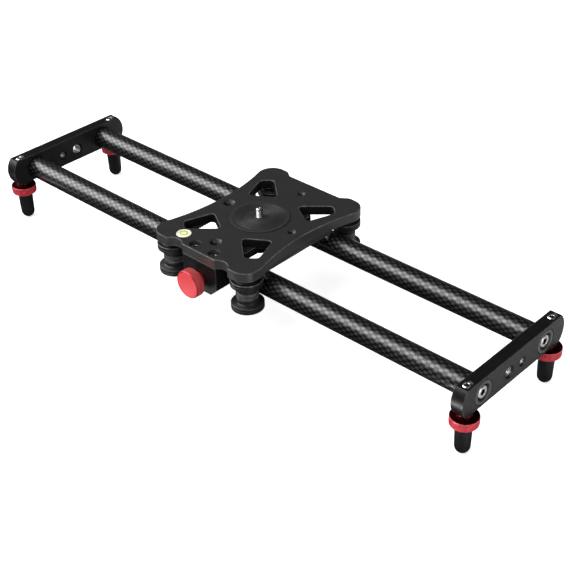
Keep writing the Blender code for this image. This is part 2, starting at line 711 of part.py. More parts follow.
def build_level():
    """Round spirit level: open case with a domed vial standing in it."""
    place = (LEVEL_X, LEVEL_Y, 0)
    case_bottom = LEVEL_FLOOR + SEAT_GAP
    case_inner_r = LEVEL_R - LEVEL_CASE_WALL
    profile = [(LEVEL_R, LEVEL_CASE_TOP), (LEVEL_R, case_bottom), (0, case_bottom),
               (0, LEVEL_CASE_FLOOR), (case_inner_r, LEVEL_CASE_FLOOR),
               (case_inner_r, LEVEL_CASE_TOP)]
    turned("level_case", profile, LEVEL_CASE, carriage, 20, place, ring=True)
    profile = [(VIAL_R * share, DECK_TOP + rise) for share, rise in VIAL_DOME]
    profile += [(VIAL_R, VIAL_BOTTOM), (0, VIAL_BOTTOM)]
    turned("level_vial", profile, LEVEL_FLUID, carriage, 20, place)


# =========================================================================
# Rollers: grooved wheel, two bearings, shoulder bolt and spacer at each lobe
# =========================================================================
ROLLER_PLACE = (ROLLER_X, -ROLLER_Y, 0)


def build_wheels():
    seat_r = BEARING_R + GAP
    profile = [(ROLLER_R, ROLLER_HALF), (ROLLER_R, RIM_IN),
               (WAIST_R, WAIST_HALF), (WAIST_R, -WAIST_HALF),
               (ROLLER_R, -RIM_IN), (ROLLER_R, -ROLLER_HALF),
               (ROLLER_POCKET_R, -ROLLER_HALF), (ROLLER_POCKET_R, LOWER_SEAT_BOTTOM),
               (seat_r, LOWER_SEAT_BOTTOM), (seat_r, LOWER_SEAT_TOP),
               (ROLLER_BORE_R, LOWER_SEAT_TOP), (ROLLER_BORE_R, UPPER_SEAT_BOTTOM),
               (seat_r, UPPER_SEAT_BOTTOM), (seat_r, ROLLER_HALF)]
    wheel = turned("roller_right_front", profile, BLACK, carriage, 22, ROLLER_PLACE, ring=True)
    copy_to_corners(wheel, "roller", ROLLER_PLACE)


def build_bearings():
    upper = (ROLLER_X, -ROLLER_Y, BEARING_UPPER_Z)
    lower = (ROLLER_X, -ROLLER_Y, BEARING_LOWER_Z)
    profile = sleeve(BEARING_R, BEARING_BORE_R, BEARING_H / 2, -BEARING_H / 2)
    bearing = turned("bearing_upper_right_front", profile, BEARING_STEEL, carriage, 12, upper,
                     ring=True)
    copy_to_corners(bearing, "bearing_upper", upper)
    copy_to_corners(bearing, "bearing_lower", lower)


def build_axles():
    profile = stepped([(AXLE_R, AXLE_TOP), (AXLE_HEAD_R, LOWER_SEAT_BOTTOM)], AXLE_HEAD_BOTTOM)
    bolt = turned("roller_axle_right_front", profile, BEARING_STEEL, carriage, 12, ROLLER_PLACE)
    hex_socket(bolt, "roller_axle_socket", AXLE_FLATS, AXLE_HEAD_BOTTOM - OVERRUN,
               AXLE_HEAD_BOTTOM + AXLE_SOCKET_DEPTH)
    bake(bolt)
    copy_to_corners(bolt, "roller_axle", ROLLER_PLACE)


def build_spacers():
    profile = sleeve(SPACER_R, AXLE_R + GAP, DECK_BOTTOM - GAP, SPACER_BOTTOM)
    spacer = turned("roller_spacer_right_front", profile, BLACK, carriage, 12, ROLLER_PLACE,
                    ring=True)
    copy_to_corners(spacer, "roller_spacer", ROLLER_PLACE)


# =========================================================================
# Brake: block under the front tab, two clamp screws, nylon pad, knob screw
# =========================================================================
BRAKE_PLACE = (0, 0, BRAKE_Z)


def build_brake_block():
    # Seen from the front: x, z.
    outline = [(-BLOCK_HALF, BLOCK_TOP), (-BLOCK_HALF, BLOCK_SHOULDER),
               (-BLOCK_LOW_HALF, BLOCK_BOTTOM), (BLOCK_LOW_HALF, BLOCK_BOTTOM),
               (BLOCK_HALF, BLOCK_SHOULDER), (BLOCK_HALF, BLOCK_TOP)]
    block = flat("brake_block", [outline], BLOCK_REAR - BLOCK_FRONT, BLOCK_CHAMFER, BLACK,
                 carriage, (0, (BLOCK_REAR + BLOCK_FRONT) / 2, 0), FACING_FRONT)
    profile = stepped([(PAD_R + GAP, BLOCK_REAR + OVERRUN),
                       (BRAKE_HOLE_R, PAD_FRONT - PAD_POCKET_SPARE)], BLOCK_FRONT - OVERRUN)
    bore(block, "brake_bore", profile, 20, BRAKE_PLACE, ALONG_Y)
    profile = rod(CLAMP_THREAD_R, BLOCK_TOP + OVERRUN, BLOCK_TOP - CLAMP_THREAD_DEPTH)
    for tag, sign in SIDES:
        bore(block, f"block_thread_{tag}", profile, 14, (sign * CLAMP_X, CLAMP_Y, 0))


def build_block_screws():
    profile = stepped([(CLAMP_HEAD_R, CLAMP_HEAD_TOP), (CLAMP_SCREW_R, CLAMP_SEAT_Z + SEAT_GAP)],
                      BLOCK_TOP - CLAMP_SCREW_DEPTH)
    screw = turned("block_screw_left", profile, STEEL, carriage, 18, (-CLAMP_X, CLAMP_Y, 0))
    hex_socket(screw, "block_screw_socket", CLAMP_FLATS, CLAMP_HEAD_TOP - CLAMP_SOCKET_DEPTH,
               CLAMP_HEAD_TOP + OVERRUN)
    bake(screw)
    copy_of(screw, "block_screw_right", (CLAMP_X, CLAMP_Y, 0))


def build_brake_pad():
    turned("brake_pad", rod(PAD_R, PAD_REAR, PAD_FRONT), NYLON, carriage, 20, BRAKE_PLACE,
           ALONG_Y)


def build_brake_screw():
    turned("brake_screw", rod(BRAKE_SCREW_R, PAD_FRONT - GAP, BRAKE_SCREW_END), STEEL, carriage,
           16, BRAKE_PLACE, ALONG_Y)


def build_brake_knob():
    """Drum with a chamfered face, a neck towards the block and a blind bore."""
    profile = [(BRAKE_HOLE_R, KNOB_NECK_END), (KNOB_NECK_R, KNOB_NECK_END),
               (KNOB_NECK_R, KNOB_BACK), (KNOB_R, KNOB_BACK),
               (KNOB_R, KNOB_FACE + KNOB_CHAMFER), (KNOB_R - KNOB_CHAMFER, KNOB_FACE),
               (0, KNOB_FACE), (0, KNOB_BORE_END), (BRAKE_HOLE_R, KNOB_BORE_END)]
    turned("brake_knob", profile, RED, carriage, 28, BRAKE_PLACE, ALONG_Y, ring=True)


build_tubes()
build_end_plates()
build_tube_inserts()
build_cup_washers()
build_tube_screws()

build_leg_studs()
build_lock_rings()
build_rubber_feet()

build_deck()
build_friction_disc()
build_camera_stud()
build_level()

build_wheels()
build_bearings()
build_axles()
build_spacers()

build_brake_block()
build_block_screws()
build_brake_pad()
build_brake_screw()
build_brake_knob()
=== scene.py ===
"""Camera slider: two carbon tubes along X between two end plates on four legs.

A carriage rolls along the tubes on four rollers. It carries a camera seat, a
round level and a brake. Right is +X, the front is -Y and up is +Z. Sizes are in
millimetres unless noted; Blender's own units are metres.
"""
import math

import bmesh
import bpy
import numpy as np
from mathutils import Matrix, Vector


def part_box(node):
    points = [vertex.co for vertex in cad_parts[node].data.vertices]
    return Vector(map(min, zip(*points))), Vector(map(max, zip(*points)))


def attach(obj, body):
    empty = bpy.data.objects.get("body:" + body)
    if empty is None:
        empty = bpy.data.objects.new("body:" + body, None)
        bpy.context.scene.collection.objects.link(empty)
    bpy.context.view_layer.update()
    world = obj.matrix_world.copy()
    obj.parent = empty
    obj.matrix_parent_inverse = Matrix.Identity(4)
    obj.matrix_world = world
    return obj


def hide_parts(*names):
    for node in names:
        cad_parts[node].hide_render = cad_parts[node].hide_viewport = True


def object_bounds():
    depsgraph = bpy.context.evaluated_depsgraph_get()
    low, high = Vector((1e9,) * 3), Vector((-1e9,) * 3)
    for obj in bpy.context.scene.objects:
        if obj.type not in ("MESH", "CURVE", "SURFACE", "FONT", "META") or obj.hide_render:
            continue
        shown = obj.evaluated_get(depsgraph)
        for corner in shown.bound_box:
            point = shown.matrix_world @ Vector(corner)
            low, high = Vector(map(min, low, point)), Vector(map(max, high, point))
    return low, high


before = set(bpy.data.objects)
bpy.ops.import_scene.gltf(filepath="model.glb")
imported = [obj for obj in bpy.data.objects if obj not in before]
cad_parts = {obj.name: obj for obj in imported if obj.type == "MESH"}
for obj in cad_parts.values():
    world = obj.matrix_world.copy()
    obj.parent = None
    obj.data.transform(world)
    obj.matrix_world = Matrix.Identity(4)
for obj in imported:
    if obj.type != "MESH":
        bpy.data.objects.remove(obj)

CAD_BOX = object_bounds()
MM = 0.001
SCENE = bpy.context.scene
TAGS = [(end, side) for end in ("right", "left") for side in ("front", "rear")]


def centre(node):
    """Centre of a CAD node's box at rest."""
    low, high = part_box(node)
    return np.array((low + high) / 2) / MM


def size(node):
    low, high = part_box(node)
    return np.array(high - low) / MM


# Working frame: tube axes at z = 0, y = 0 midway between them.
TUBE_FRONT, TUBE_REAR = centre("rail_tube_front"), centre("rail_tube_rear")
Y0, Z0 = (TUBE_FRONT[1] + TUBE_REAR[1]) / 2, TUBE_FRONT[2]
RAIL_Y = (TUBE_REAR[1] - TUBE_FRONT[1]) / 2
CARRIAGE_X = centre("friction_disc")[0]
CARRIAGE = np.array((CARRIAGE_X, Y0, Z0))

# Turns, named by where they send a piece's own Z axis.
UNTURNED = Matrix.Identity(4)
Z_TO_X = Matrix.Rotation(math.pi / 2, 4, "Y")
Z_TO_MINUS_X = Matrix.Rotation(-math.pi / 2, 4, "Y")
Z_TO_Y = Matrix.Rotation(-math.pi / 2, 4, "X")
Z_TO_MINUS_Y = Matrix.Rotation(math.pi / 2, 4, "X")
Z_FLIPPED = Matrix.Rotation(math.pi, 4, "X")

# Threads: (major radius, pitch)
LARGE_THREAD = (9.525 / 2, 1.5875)
SMALL_THREAD = (6.35 / 2, 1.27)

# Heights that both a material and its piece need
RING_TOP = -15.8        # upward face of a lock ring
KNOB_FACE = -94.2       # front face of the brake knob, along its own axis


# --------------------------------------------------------------------------
# Node helpers
# --------------------------------------------------------------------------
def rgba(value):
    return (*value, 1.0) if isinstance(value, tuple) else value


class Nodes:
    """Shorthand round a node tree, which it empties first."""

    def __init__(self, tree):
        self.tree = tree
        tree.nodes.clear()

    def new(self, kind, **props):
        node = self.tree.nodes.new(kind)
        for key, value in props.items():
            setattr(node, key, value)
        return node

    def put(self, socket, value):
        if isinstance(value, bpy.types.NodeSocket):
            self.tree.links.new(value, socket)
        else:
            socket.default_value = value

    def fill(self, node, *values):
        """Fills a node's first inputs and gives its first output."""
        for i, value in enumerate(values):
            self.put(node.inputs[i], value)
        return node.outputs[0]

    def math(self, operation, first, second=0.0, clamp=False):
        node = self.new("ShaderNodeMath", operation=operation, use_clamp=clamp)
        return self.fill(node, first, second)

    def add(self, first, second):
        return self.math("ADD", first, second)

    def mul(self, first, second, clamp=False):
        return self.math("MULTIPLY", first, second, clamp)

    def mix_shader(self, factor, first, second):
        return self.fill(self.new("ShaderNodeMixShader"), factor, first, second)


class Shader(Nodes):
    """A new material round one Principled shader."""

    def __init__(self, name):
        self.material = bpy.data.materials.new(name)
        self.material.use_nodes = True
        super().__init__(self.material.node_tree)
        self.out = self.new("ShaderNodeOutputMaterial")
        self.bsdf = self.new("ShaderNodeBsdfPrincipled")
        self.put(self.out.inputs[0], self.bsdf.outputs[0])

    def set(self, **inputs):
        for key, value in inputs.items():
            self.put(self.bsdf.inputs[key.replace("_", " ")], value)

    def attr(self, name, out="Fac"):
        return self.new("ShaderNodeAttribute", attribute_name=name).outputs[out]

    def loc(self):
        """Place on the piece, in mm, in the piece's own frame."""
        return self.attr("loc", "Vector")

    def geometry(self, out):
        return self.new("ShaderNodeNewGeometry").outputs[out]

    def split(self, vector):
        node = self.new("ShaderNodeSeparateXYZ")
        self.put(node.inputs[0], vector)
        return node.outputs

    def vec(self, x, y, z):
        return self.fill(self.new("ShaderNodeCombineXYZ"), x, y, z)

    def radius(self, x, y):
        """Distance from the piece's own Z axis."""
        return self.math("SQRT", self.add(self.mul(x, x), self.mul(y, y)))

    def noise(self, vector, scale, detail=2.0, rough=0.5):
        node = self.new("ShaderNodeTexNoise")
        self.put(node.inputs["Vector"], vector)
        node.inputs["Scale"].default_value = scale
        node.inputs["Detail"].default_value = detail
        node.inputs["Roughness"].default_value = rough
        return node.outputs["Fac"]

    def span(self, value, over, to, smooth=False):
        """Maps the range `over` onto the range `to`, held at both ends."""
        node = self.new("ShaderNodeMapRange")
        if smooth:
            node.interpolation_type = "SMOOTHSTEP"
        self.put(node.inputs["Value"], value)
        for key, number in zip(("From Min", "From Max", "To Min", "To Max"), (*over, *to)):
            node.inputs[key].default_value = number
        return node.outputs[0]

    def fade(self, factor, start, end):
        """Goes from start at 0 to end at 1."""
        return self.span(factor, (0.0, 1.0), (start, end))

    def vary(self, noise, low, high):
        """Spreads the middle of a noise from low to high."""
        return self.span(noise, (0.3, 0.7), (low, high))

    def mix(self, factor, first, second):
        node = self.new("ShaderNodeMix", data_type="RGBA")
        self.put(node.inputs[0], factor)
        self.put(node.inputs[6], rgba(first))
        self.put(node.inputs[7], rgba(second))
        return node.outputs[2]

    def scale(self, colour, gain):
        node = self.new("ShaderNodeMix", data_type="RGBA", blend_type="MULTIPLY")
        node.inputs[0].default_value = 1.0
        self.put(node.inputs[6], rgba(colour))
        grey = self.fill(self.new("ShaderNodeCombineColor"), gain, gain, gain)
        self.put(node.inputs[7], grey)
        return node.outputs[2]

    def bump(self, height, depth, strength=1.0):
        node = self.new("ShaderNodeBump")
        node.inputs["Strength"].default_value = strength
        node.inputs["Distance"].default_value = depth * MM
        self.put(node.inputs["Height"], height)
        return node.outputs[0]

    def lathe_rings(self, loc, radius, z, fine_scale):
        """Height of the rings left by a lathe, over a fine grain."""
        lines = self.noise(self.vec(radius, z, 0.0), scale=6.5, rough=0.6)
        fine = self.noise(loc, scale=fine_scale, detail=1.0)
        return self.add(lines, self.mul(fine, 0.35))


# --------------------------------------------------------------------------
# Materials
# --------------------------------------------------------------------------
SHADOW = (0.012, 0.012, 0.012)      # painted shade of sockets and thread roots


def metal(name, base, rough, metallic=0.6, edge_wear_and_sheen_colour=(0.35, 0.35, 0.36), edge_wear_and_sheen=0.5, turned=False,
          grain=0.010, mottle=0.22, spec=0.5, flank=None, bare=None, socket=None, lid=None,
          root=None):
    """Anodised, plated or machined metal: broad tone changes, a fine surface
    grain or the rings left by a lathe, and brighter edges, partly rubbed wear
    and partly painted highlight.

    flank   axis, along, gain, spec, rough: look of the faces that face along
        (or, with along=False, across) a world axis; the gain is painted light,
        a brighter tone for those faces
    bare    grey level of the tapped bores
    socket  radius inside which the drive socket gets painted shade
    lid     height above which the piece gets painted shade
    root    (dark radius, clear radius, top) of a thread whose roots get painted shade
    """
    mat = Shader(name)
    loc = mat.loc()
    edge = mat.attr("edge")
    broad = mat.noise(loc, scale=0.11, detail=3.0, rough=0.6)
    cloud = mat.noise(loc, scale=0.9, detail=3.0, rough=0.6)
    tone = mat.add(mat.vary(broad, 1 - mottle, 1 + mottle),
                   mat.vary(cloud, -mottle * 0.35, mottle * 0.35))
    colour = mat.scale(base, tone)
    if flank:
        # painted light: faces along (or across) the axis get a brighter tone by the gain
        facing = mat.split(mat.geometry("True Normal"))["XYZ".index(flank["axis"])]
        facing = mat.math("ABSOLUTE", facing)
        if flank["along"]:
            side = mat.span(facing, over=(0.55, 0.85), to=(0.0, 1.0))
        else:
            side = mat.span(facing, over=(0.25, 0.6), to=(1.0, 0.0))
        # painted shade: pocket walls are darkened, and lose the flank's brighter tone
        inner = mat.attr("inner")
        side = mat.mul(side, mat.fade(inner, 1.0, 0.0))
        colour = mat.scale(colour, mat.fade(inner, start=1.0, end=0.30))
        colour = mat.scale(colour, mat.fade(side, 1.0, flank["gain"]))
    if bare:
        cut = mat.attr("bare")
        colour = mat.mix(cut, colour, (bare, bare, bare * 1.01))
        metallic = mat.fade(cut, metallic, 1.0)
    if lid is not None:
        # painted shade: the top face is darkened, as if shaded by the part above it
        z = mat.split(loc)[2]
        top = mat.span(z, over=(lid - 0.12, lid), to=(0.0, 1.0))
        colour = mat.mix(top, colour, tuple(channel * 0.16 for channel in base))
        metallic = mat.fade(top, metallic, 1.0)
    if root:
        # painted shade in the thread roots
        x, y, z = mat.split(loc)
        root_shade = mat.mul(mat.span(mat.radius(x, y), over=root[:2], to=(0.93, 0.0)),
                       mat.math("LESS_THAN", z, root[2]))
        colour = mat.mix(root_shade, colour, SHADOW)
    if socket:
        # painted shade in the drive socket
        x, y, z = mat.split(loc)
        socket_shade = mat.math("LESS_THAN", mat.radius(x, y), socket)
        colour = mat.mix(mat.mul(socket_shade, 0.96), colour, SHADOW)

    # brighter edges: rubbed wear, and also a painted highlight along the rims
    rub = mat.noise(loc, scale=0.28, detail=3.0, rough=0.6)
    edge_wear_and_sheen_mask = mat.mul(edge, mat.span(rub, over=(0.36, 0.68), to=(0.30, 1.0), smooth=True))
    edge_wear_and_sheen_mask = mat.mul(edge_wear_and_sheen_mask, edge_wear_and_sheen, clamp=True)
    colour = mat.mix(edge_wear_and_sheen_mask, colour, edge_wear_and_sheen_colour)

    even = mat.fill(mat.new("ShaderNodeVectorMath", operation="MULTIPLY"), loc, (1.0, 1.0, 1.0))
    smear = mat.noise(even, scale=0.30, detail=5.0, rough=0.65)
    if flank:
        rough = mat.fade(side, rough, flank["rough"])
        spec = mat.fade(side, spec, flank["spec"])
    roughness = mat.add(rough, mat.vary(smear, low=-0.07, high=0.09))
    roughness = mat.math("SUBTRACT", roughness, mat.mul(edge_wear_and_sheen_mask, 0.10), clamp=True)
    if turned:
        x, y, z = mat.split(loc)
        height = mat.lathe_rings(loc, mat.radius(x, y), z, fine_scale=10.0)
    else:
        height = mat.noise(loc, scale=5.0, rough=0.6)
    mat.set(Base_Color=colour, Roughness=roughness, Metallic=metallic,
            Normal=mat.bump(height, grain), Specular_IOR_Level=spec)
    return mat.material


def carbon(name):
    """Clear-coated carbon cloth: tows that cross in a checker, with fibres that
    run along the tube in one set of cells and round it in the other."""
    mat = Shader(name)
    weave = mat.new("ShaderNodeUVMap", uv_map="weave").outputs[0]
    along, around, _ = mat.split(weave)          # in cells
    # a slow wander keeps the tows from being ruled lines
    wander = mat.noise(mat.vec(along, around, 0.0), scale=0.35)
    along = mat.add(along, mat.fade(wander, start=-0.10, end=0.10))
    in_along, in_around = mat.math("FRACT", along), mat.math("FRACT", around)
    cell = mat.add(mat.math("FLOOR", along), mat.math("FLOOR", around))
    odd = mat.math("ABSOLUTE", mat.math("MODULO", cell, 2.0))
    odd = mat.math("GREATER_THAN", odd, 0.5)
    # 0 at the edges of a cell and 1 in its middle
    arch_along = mat.math("SINE", mat.mul(in_along, math.pi))
    arch_around = mat.math("SINE", mat.mul(in_around, math.pi))

    def tow(main, cross):
        return mat.add(mat.mul(mat.math("POWER", main, 0.6), 0.75),
                       mat.mul(mat.math("POWER", cross, 0.6), 0.25))

    def fibres(along_gain, around_gain, layer):
        place_in = mat.vec(mat.mul(along, along_gain), mat.mul(around, around_gain), layer)
        return mat.noise(place_in, scale=1.0)

    def pick(even_value, odd_value):
        node = mat.new("ShaderNodeMix", data_type="FLOAT")
        mat.put(node.inputs[0], odd)
        mat.put(node.inputs[2], even_value)
        mat.put(node.inputs[3], odd_value)
        return node.outputs[0]

    def patches(layer, scale, detail, low, high):
        return mat.vary(mat.noise(mat.vec(along, around, layer), scale, detail), low, high)

    crown = pick(tow(arch_around, arch_along), tow(arch_along, arch_around))
    fibre = pick(fibres(along_gain=0.6, around_gain=16.0, layer=0.0),
                 fibres(along_gain=26.0, around_gain=0.6, layer=3.0))
    level = pick(even_value=0.0028, odd_value=0.072)
    level = mat.mul(level, mat.fade(crown, start=0.14, end=1.15))
    level = mat.mul(level, mat.vary(fibre, low=0.72, high=1.28))
    rough = mat.add(pick(even_value=0.45, odd_value=0.47),
                    patches(layer=9.0, scale=0.18, detail=3.0, low=-0.04, high=0.05))
    coat_rough = patches(layer=5.0, scale=0.25, detail=4.0, low=0.24, high=0.31)
    height = mat.add(crown, mat.mul(fibre, 0.22))
    mat.set(Base_Color=mat.scale((1.0, 1.0, 1.03), level), Roughness=rough, Metallic=0.92,
            Normal=mat.bump(height, depth=0.05, strength=0.9), Specular_IOR_Level=0.5,
            Coat_Weight=0.95, Coat_Roughness=coat_rough, Coat_IOR=1.48)
    return mat.material


def rubber(name):
    mat = Shader(name)
    loc = mat.loc()
    dust = mat.noise(loc, scale=0.35, detail=4.0, rough=0.7)
    dusty = mat.span(dust, over=(0.45, 0.75), to=(0.0, 0.55), smooth=True)
    colour = mat.mix(dusty, (0.0075, 0.0075, 0.0082), (0.017, 0.0165, 0.016))
    # the tip is scuffed grey where it stands on the ground
    scrape = mat.noise(loc, scale=1.1, detail=4.0, rough=0.7)
    scuff = mat.mul(mat.attr("tip"),
                    mat.span(scrape, over=(0.4, 0.7), to=(0.1, 1.0), smooth=True))
    colour = mat.mix(mat.mul(scuff, 0.5), colour, (0.085, 0.083, 0.08))
    rough = mat.add(mat.vary(dust, low=0.30, high=0.46), mat.mul(scuff, 0.2))
    grain = mat.noise(loc, scale=3.5, detail=3.0, rough=0.65)
    mat.set(Base_Color=colour, Roughness=rough, Normal=mat.bump(grain, depth=0.022),
            Specular_IOR_Level=0.34)
    return mat.material


def plastic(name, base, rough, coat=0.0):
    mat = Shader(name)
    loc = mat.loc()
    broad = mat.noise(loc, scale=0.35, detail=3.0, rough=0.6)
    smear = mat.noise(loc, scale=0.9, detail=3.0)
    mat.set(Base_Color=mat.scale(base, mat.vary(broad, low=0.94, high=1.06)),
            Roughness=mat.vary(smear, low=max(rough - 0.05, 0.02), high=rough + 0.06),
            Normal=mat.bump(mat.noise(loc, scale=4.0), depth=0.006),
            Specular_IOR_Level=0.5, Coat_Weight=coat, Coat_Roughness=0.05)
    return mat.material


def fluid(name):
    """Tinted fluid under a clear lens: deeper in the middle, paler at the rim."""
    mat = Shader(name)
    loc = mat.loc()
    x, y, _ = mat.split(loc)
    swirl = mat.noise(loc, scale=0.4)
    tint = mat.span(mat.radius(x, y), over=(2.6, 5.2), to=(0.0, 1.0), smooth=True)
    colour = mat.mix(tint, (0.66, 0.72, 0.22), (0.86, 0.90, 0.60))
    colour = mat.scale(colour, mat.vary(swirl, low=0.94, high=1.06))
    mat.set(Base_Color=colour, Roughness=mat.vary(swirl, low=0.05, high=0.10),
            Specular_IOR_Level=0.5, Coat_Weight=1.0, Coat_Roughness=0.03,
            Normal=mat.bump(mat.noise(loc, scale=0.8), depth=0.004))
    return mat.material


def red_knob(name):
    """Red anodised knob: a finely faced front and a darker knurled rim; the front's lighter red
    is painted light.
    """
    face_radius = 12.2
    mat = Shader(name)
    loc = mat.loc()
    edge = mat.attr("edge")
    x, y, z = mat.split(loc)
    radius = mat.radius(x, y)
    # painted light: the front face gets a lighter red than the rim, as if lit
    face = mat.mul(mat.math("LESS_THAN", z, KNOB_FACE + 0.3),
                   mat.math("LESS_THAN", radius, face_radius))
    cloud = mat.noise(loc, scale=0.16, detail=3.0, rough=0.6)
    colour = mat.mix(face, (0.45, 0.018, 0.028), (0.63, 0.038, 0.050))
    colour = mat.scale(colour, mat.vary(cloud, low=0.95, high=1.05))
    # brighter edges: rubbed wear, and also a painted highlight
    edge_wear_and_sheen_mask = mat.mul(edge, 0.35, clamp=True)
    colour = mat.mix(edge_wear_and_sheen_mask, colour, (0.85, 0.30, 0.30))
    rings = mat.lathe_rings(loc, radius, z, fine_scale=9.0)
    mat.set(Base_Color=colour, Roughness=mat.vary(cloud, low=0.30, high=0.40),
            Metallic=mat.fade(face, start=0.45, end=0.12),
            Normal=mat.bump(rings, depth=0.003), Specular_IOR_Level=0.5)
    return mat.material


def zinc(name, socket=None):
    return metal(name, (0.80, 0.80, 0.81), rough=0.26, metallic=1.0, edge_wear_and_sheen_colour=(0.85, 0.85, 0.85),
                 edge_wear_and_sheen=0.4, turned=True, mottle=0.10, grain=0.006, socket=socket)


CARBON = carbon("carbon_weave")
# painted light: the plate's faces toward +X and -X get a brighter tone (flank gain)
PLATE = metal("anodised_black_plate", (0.0062, 0.0062, 0.0065), rough=0.36, metallic=0.3,
              edge_wear_and_sheen=0.16, grain=0.006, spec=0.32, bare=0.62,
              flank=dict(axis="X", along=True, gain=1.70, spec=0.56, rough=0.38))
BLOCK = metal("anodised_black_block", (0.0075, 0.0075, 0.0077), rough=0.38, metallic=0.3,
              edge_wear_and_sheen=0.14, grain=0.006, spec=0.42)
# painted light: the deck's side walls get a brighter tone (flank gain); the edge wear also
# paints a highlight along the rims
DECK = metal("anodised_black_deck", (0.0228, 0.0228, 0.0231), rough=0.47, metallic=0.2,
             edge_wear_and_sheen=0.28, grain=0.010, mottle=0.06, spec=0.26, bare=0.10,
             flank=dict(axis="Z", along=False, gain=1.6, spec=0.8, rough=0.36))
DISC = metal("anodised_black_disc", (0.0290, 0.0290, 0.0294), rough=0.48, metallic=0.25,
             edge_wear_and_sheen=0.10, turned=True, grain=0.008, mottle=0.03, spec=0.18)
BLACK_TURNED = metal("anodised_black_turned", (0.016, 0.016, 0.0163), rough=0.34,
                     metallic=0.35, edge_wear_and_sheen=0.30, turned=True, spec=0.5)
GREY_TURNED = metal("anodised_grey_turned", (0.105, 0.108, 0.11), rough=0.34, metallic=0.7,
                    edge_wear_and_sheen=0.4, turned=True)
# painted shade: the lock ring's top face is darkened (lid), as under the end plate
RED = metal("anodised_red_turned", (0.54, 0.006, 0.024), rough=0.30, metallic=0.45,
            edge_wear_and_sheen_colour=(0.85, 0.30, 0.30), edge_wear_and_sheen=0.45, turned=True, mottle=0.05, spec=0.5,
            grain=0.005, lid=RING_TOP - 0.15)
RED_KNOB = red_knob("anodised_red_knob")
STEEL = zinc("zinc_plated_steel")
# painted shade: socket= darkens the drive sockets
STEEL_HEAD = zinc("zinc_plated_head", socket=2.9)
STEEL_STUD = zinc("zinc_plated_stud", socket=2.02)
# painted shade: socket= darkens the drive socket
OXIDE = metal("black_oxide_screw", (0.20, 0.20, 0.205), rough=0.32, metallic=0.9,
              edge_wear_and_sheen_colour=(0.5, 0.5, 0.51), edge_wear_and_sheen=0.5, turned=True, mottle=0.15, socket=2.35)
GROUND = metal("ground_bearing_steel", (0.46, 0.46, 0.48), rough=0.26, metallic=1.0,
               edge_wear_and_sheen_colour=(0.7, 0.7, 0.7), edge_wear_and_sheen=0.4, turned=True, mottle=0.10, grain=0.006)
RUBBER = rubber("moulded_rubber")
NYLON = plastic("natural_nylon", (0.72, 0.72, 0.67), rough=0.45)
CASE = plastic("level_case_plastic", (0.80, 0.82, 0.66), rough=0.32, coat=0.3)
FLUID = fluid("level_fluid")
BUBBLE = plastic("level_bubble", (0.86, 0.90, 0.52), rough=0.08, coat=1.0)
MARK = plastic("level_ring_mark", (0.012, 0.014, 0.010), rough=0.35)


# --------------------------------------------------------------------------
# Turned shapes
#
# A profile is a list of (radius, z, rounding, kind). The last two may be left
# out. The kind is None (round), "hex" or (teeth, depth) for a straight knurl.
# --------------------------------------------------------------------------
def corner_arc(before, corner, after, radius, steps=10, limit=math.inf):
    """Points of a rounded corner, which takes at most `limit` of each side."""
    corner = np.array(corner, float)
    back = np.array(before, float) - corner
    ahead = np.array(after, float) - corner
    back_length, ahead_length = np.linalg.norm(back), np.linalg.norm(ahead)
    back, ahead = back / back_length, ahead / ahead_length
    half = math.acos(max(-1.0, min(1.0, float(back @ ahead)))) / 2
    if half > math.pi / 2 - 0.02:       # almost straight
        return [tuple(corner)]
    reach = min(radius / math.tan(half), back_length * limit, ahead_length * limit)
    radius = reach * math.tan(half)
    middle = (back + ahead) / np.linalg.norm(back + ahead)
    hub = corner + middle * radius / math.sin(half)
    start, end = corner + back * reach - hub, corner + ahead * reach - hub
    start, end = math.atan2(start[1], start[0]), math.atan2(end[1], end[0])
    turn = (end - start + math.pi) % (2 * math.pi) - math.pi
    angles = [start + turn * i / steps for i in range(steps + 1)]
    return [(hub[0] + radius * math.cos(a), hub[1] + radius * math.sin(a)) for a in angles]


def soften(profile, closed, segments):
    """Rounds the profile's corners; gives (radius, z, kind)."""
    points = [p + (0.0, None)[len(p) - 2:] for p in profile]
    out = []
    for i, (radius, z, rounding, kind) in enumerate(points):
        if not rounding or (not closed and i in (0, len(points) - 1)):
            out.append((radius, z, kind))
            continue
        after = points[(i + 1) % len(points)]
        bend = corner_arc(points[i - 1][:2], (radius, z), after[:2], rounding, segments, 0.49)
        out += [(*point, kind) for point in bend]
    return out


def angles_of(steps):
    return np.arange(steps) * 2 * math.pi / steps


def ring(radius, z, angles):
    return np.stack([radius * np.cos(angles), radius * np.sin(angles),
                     np.full(len(angles), z)], 1)


def radii(kind, radius, angles):
    if kind is None:
        return np.full(len(angles), radius)
    if kind == "hex":                       # radius is half the width across flats
        sixth = math.pi / 3
        return radius / np.cos((angles + math.pi / 6) % sixth - math.pi / 6)
    teeth, depth = kind
    saw = np.abs((angles * teeth / (2 * math.pi)) % 1.0 - 0.5) * 2
    return radius - depth * saw


def rings_at(points, steps):
    """One ring for each (radius, z, kind); a point on the axis gives a pole."""
    angles = angles_of(steps)
    return [np.array([(0.0, 0.0, z)]) if radius < 1e-6
            else ring(radii(kind, radius, angles), z, angles)
            for radius, z, kind in points]


def rings_of(profile, steps, closed=False, segments=4):
    return rings_at(soften(profile, closed, segments), steps)


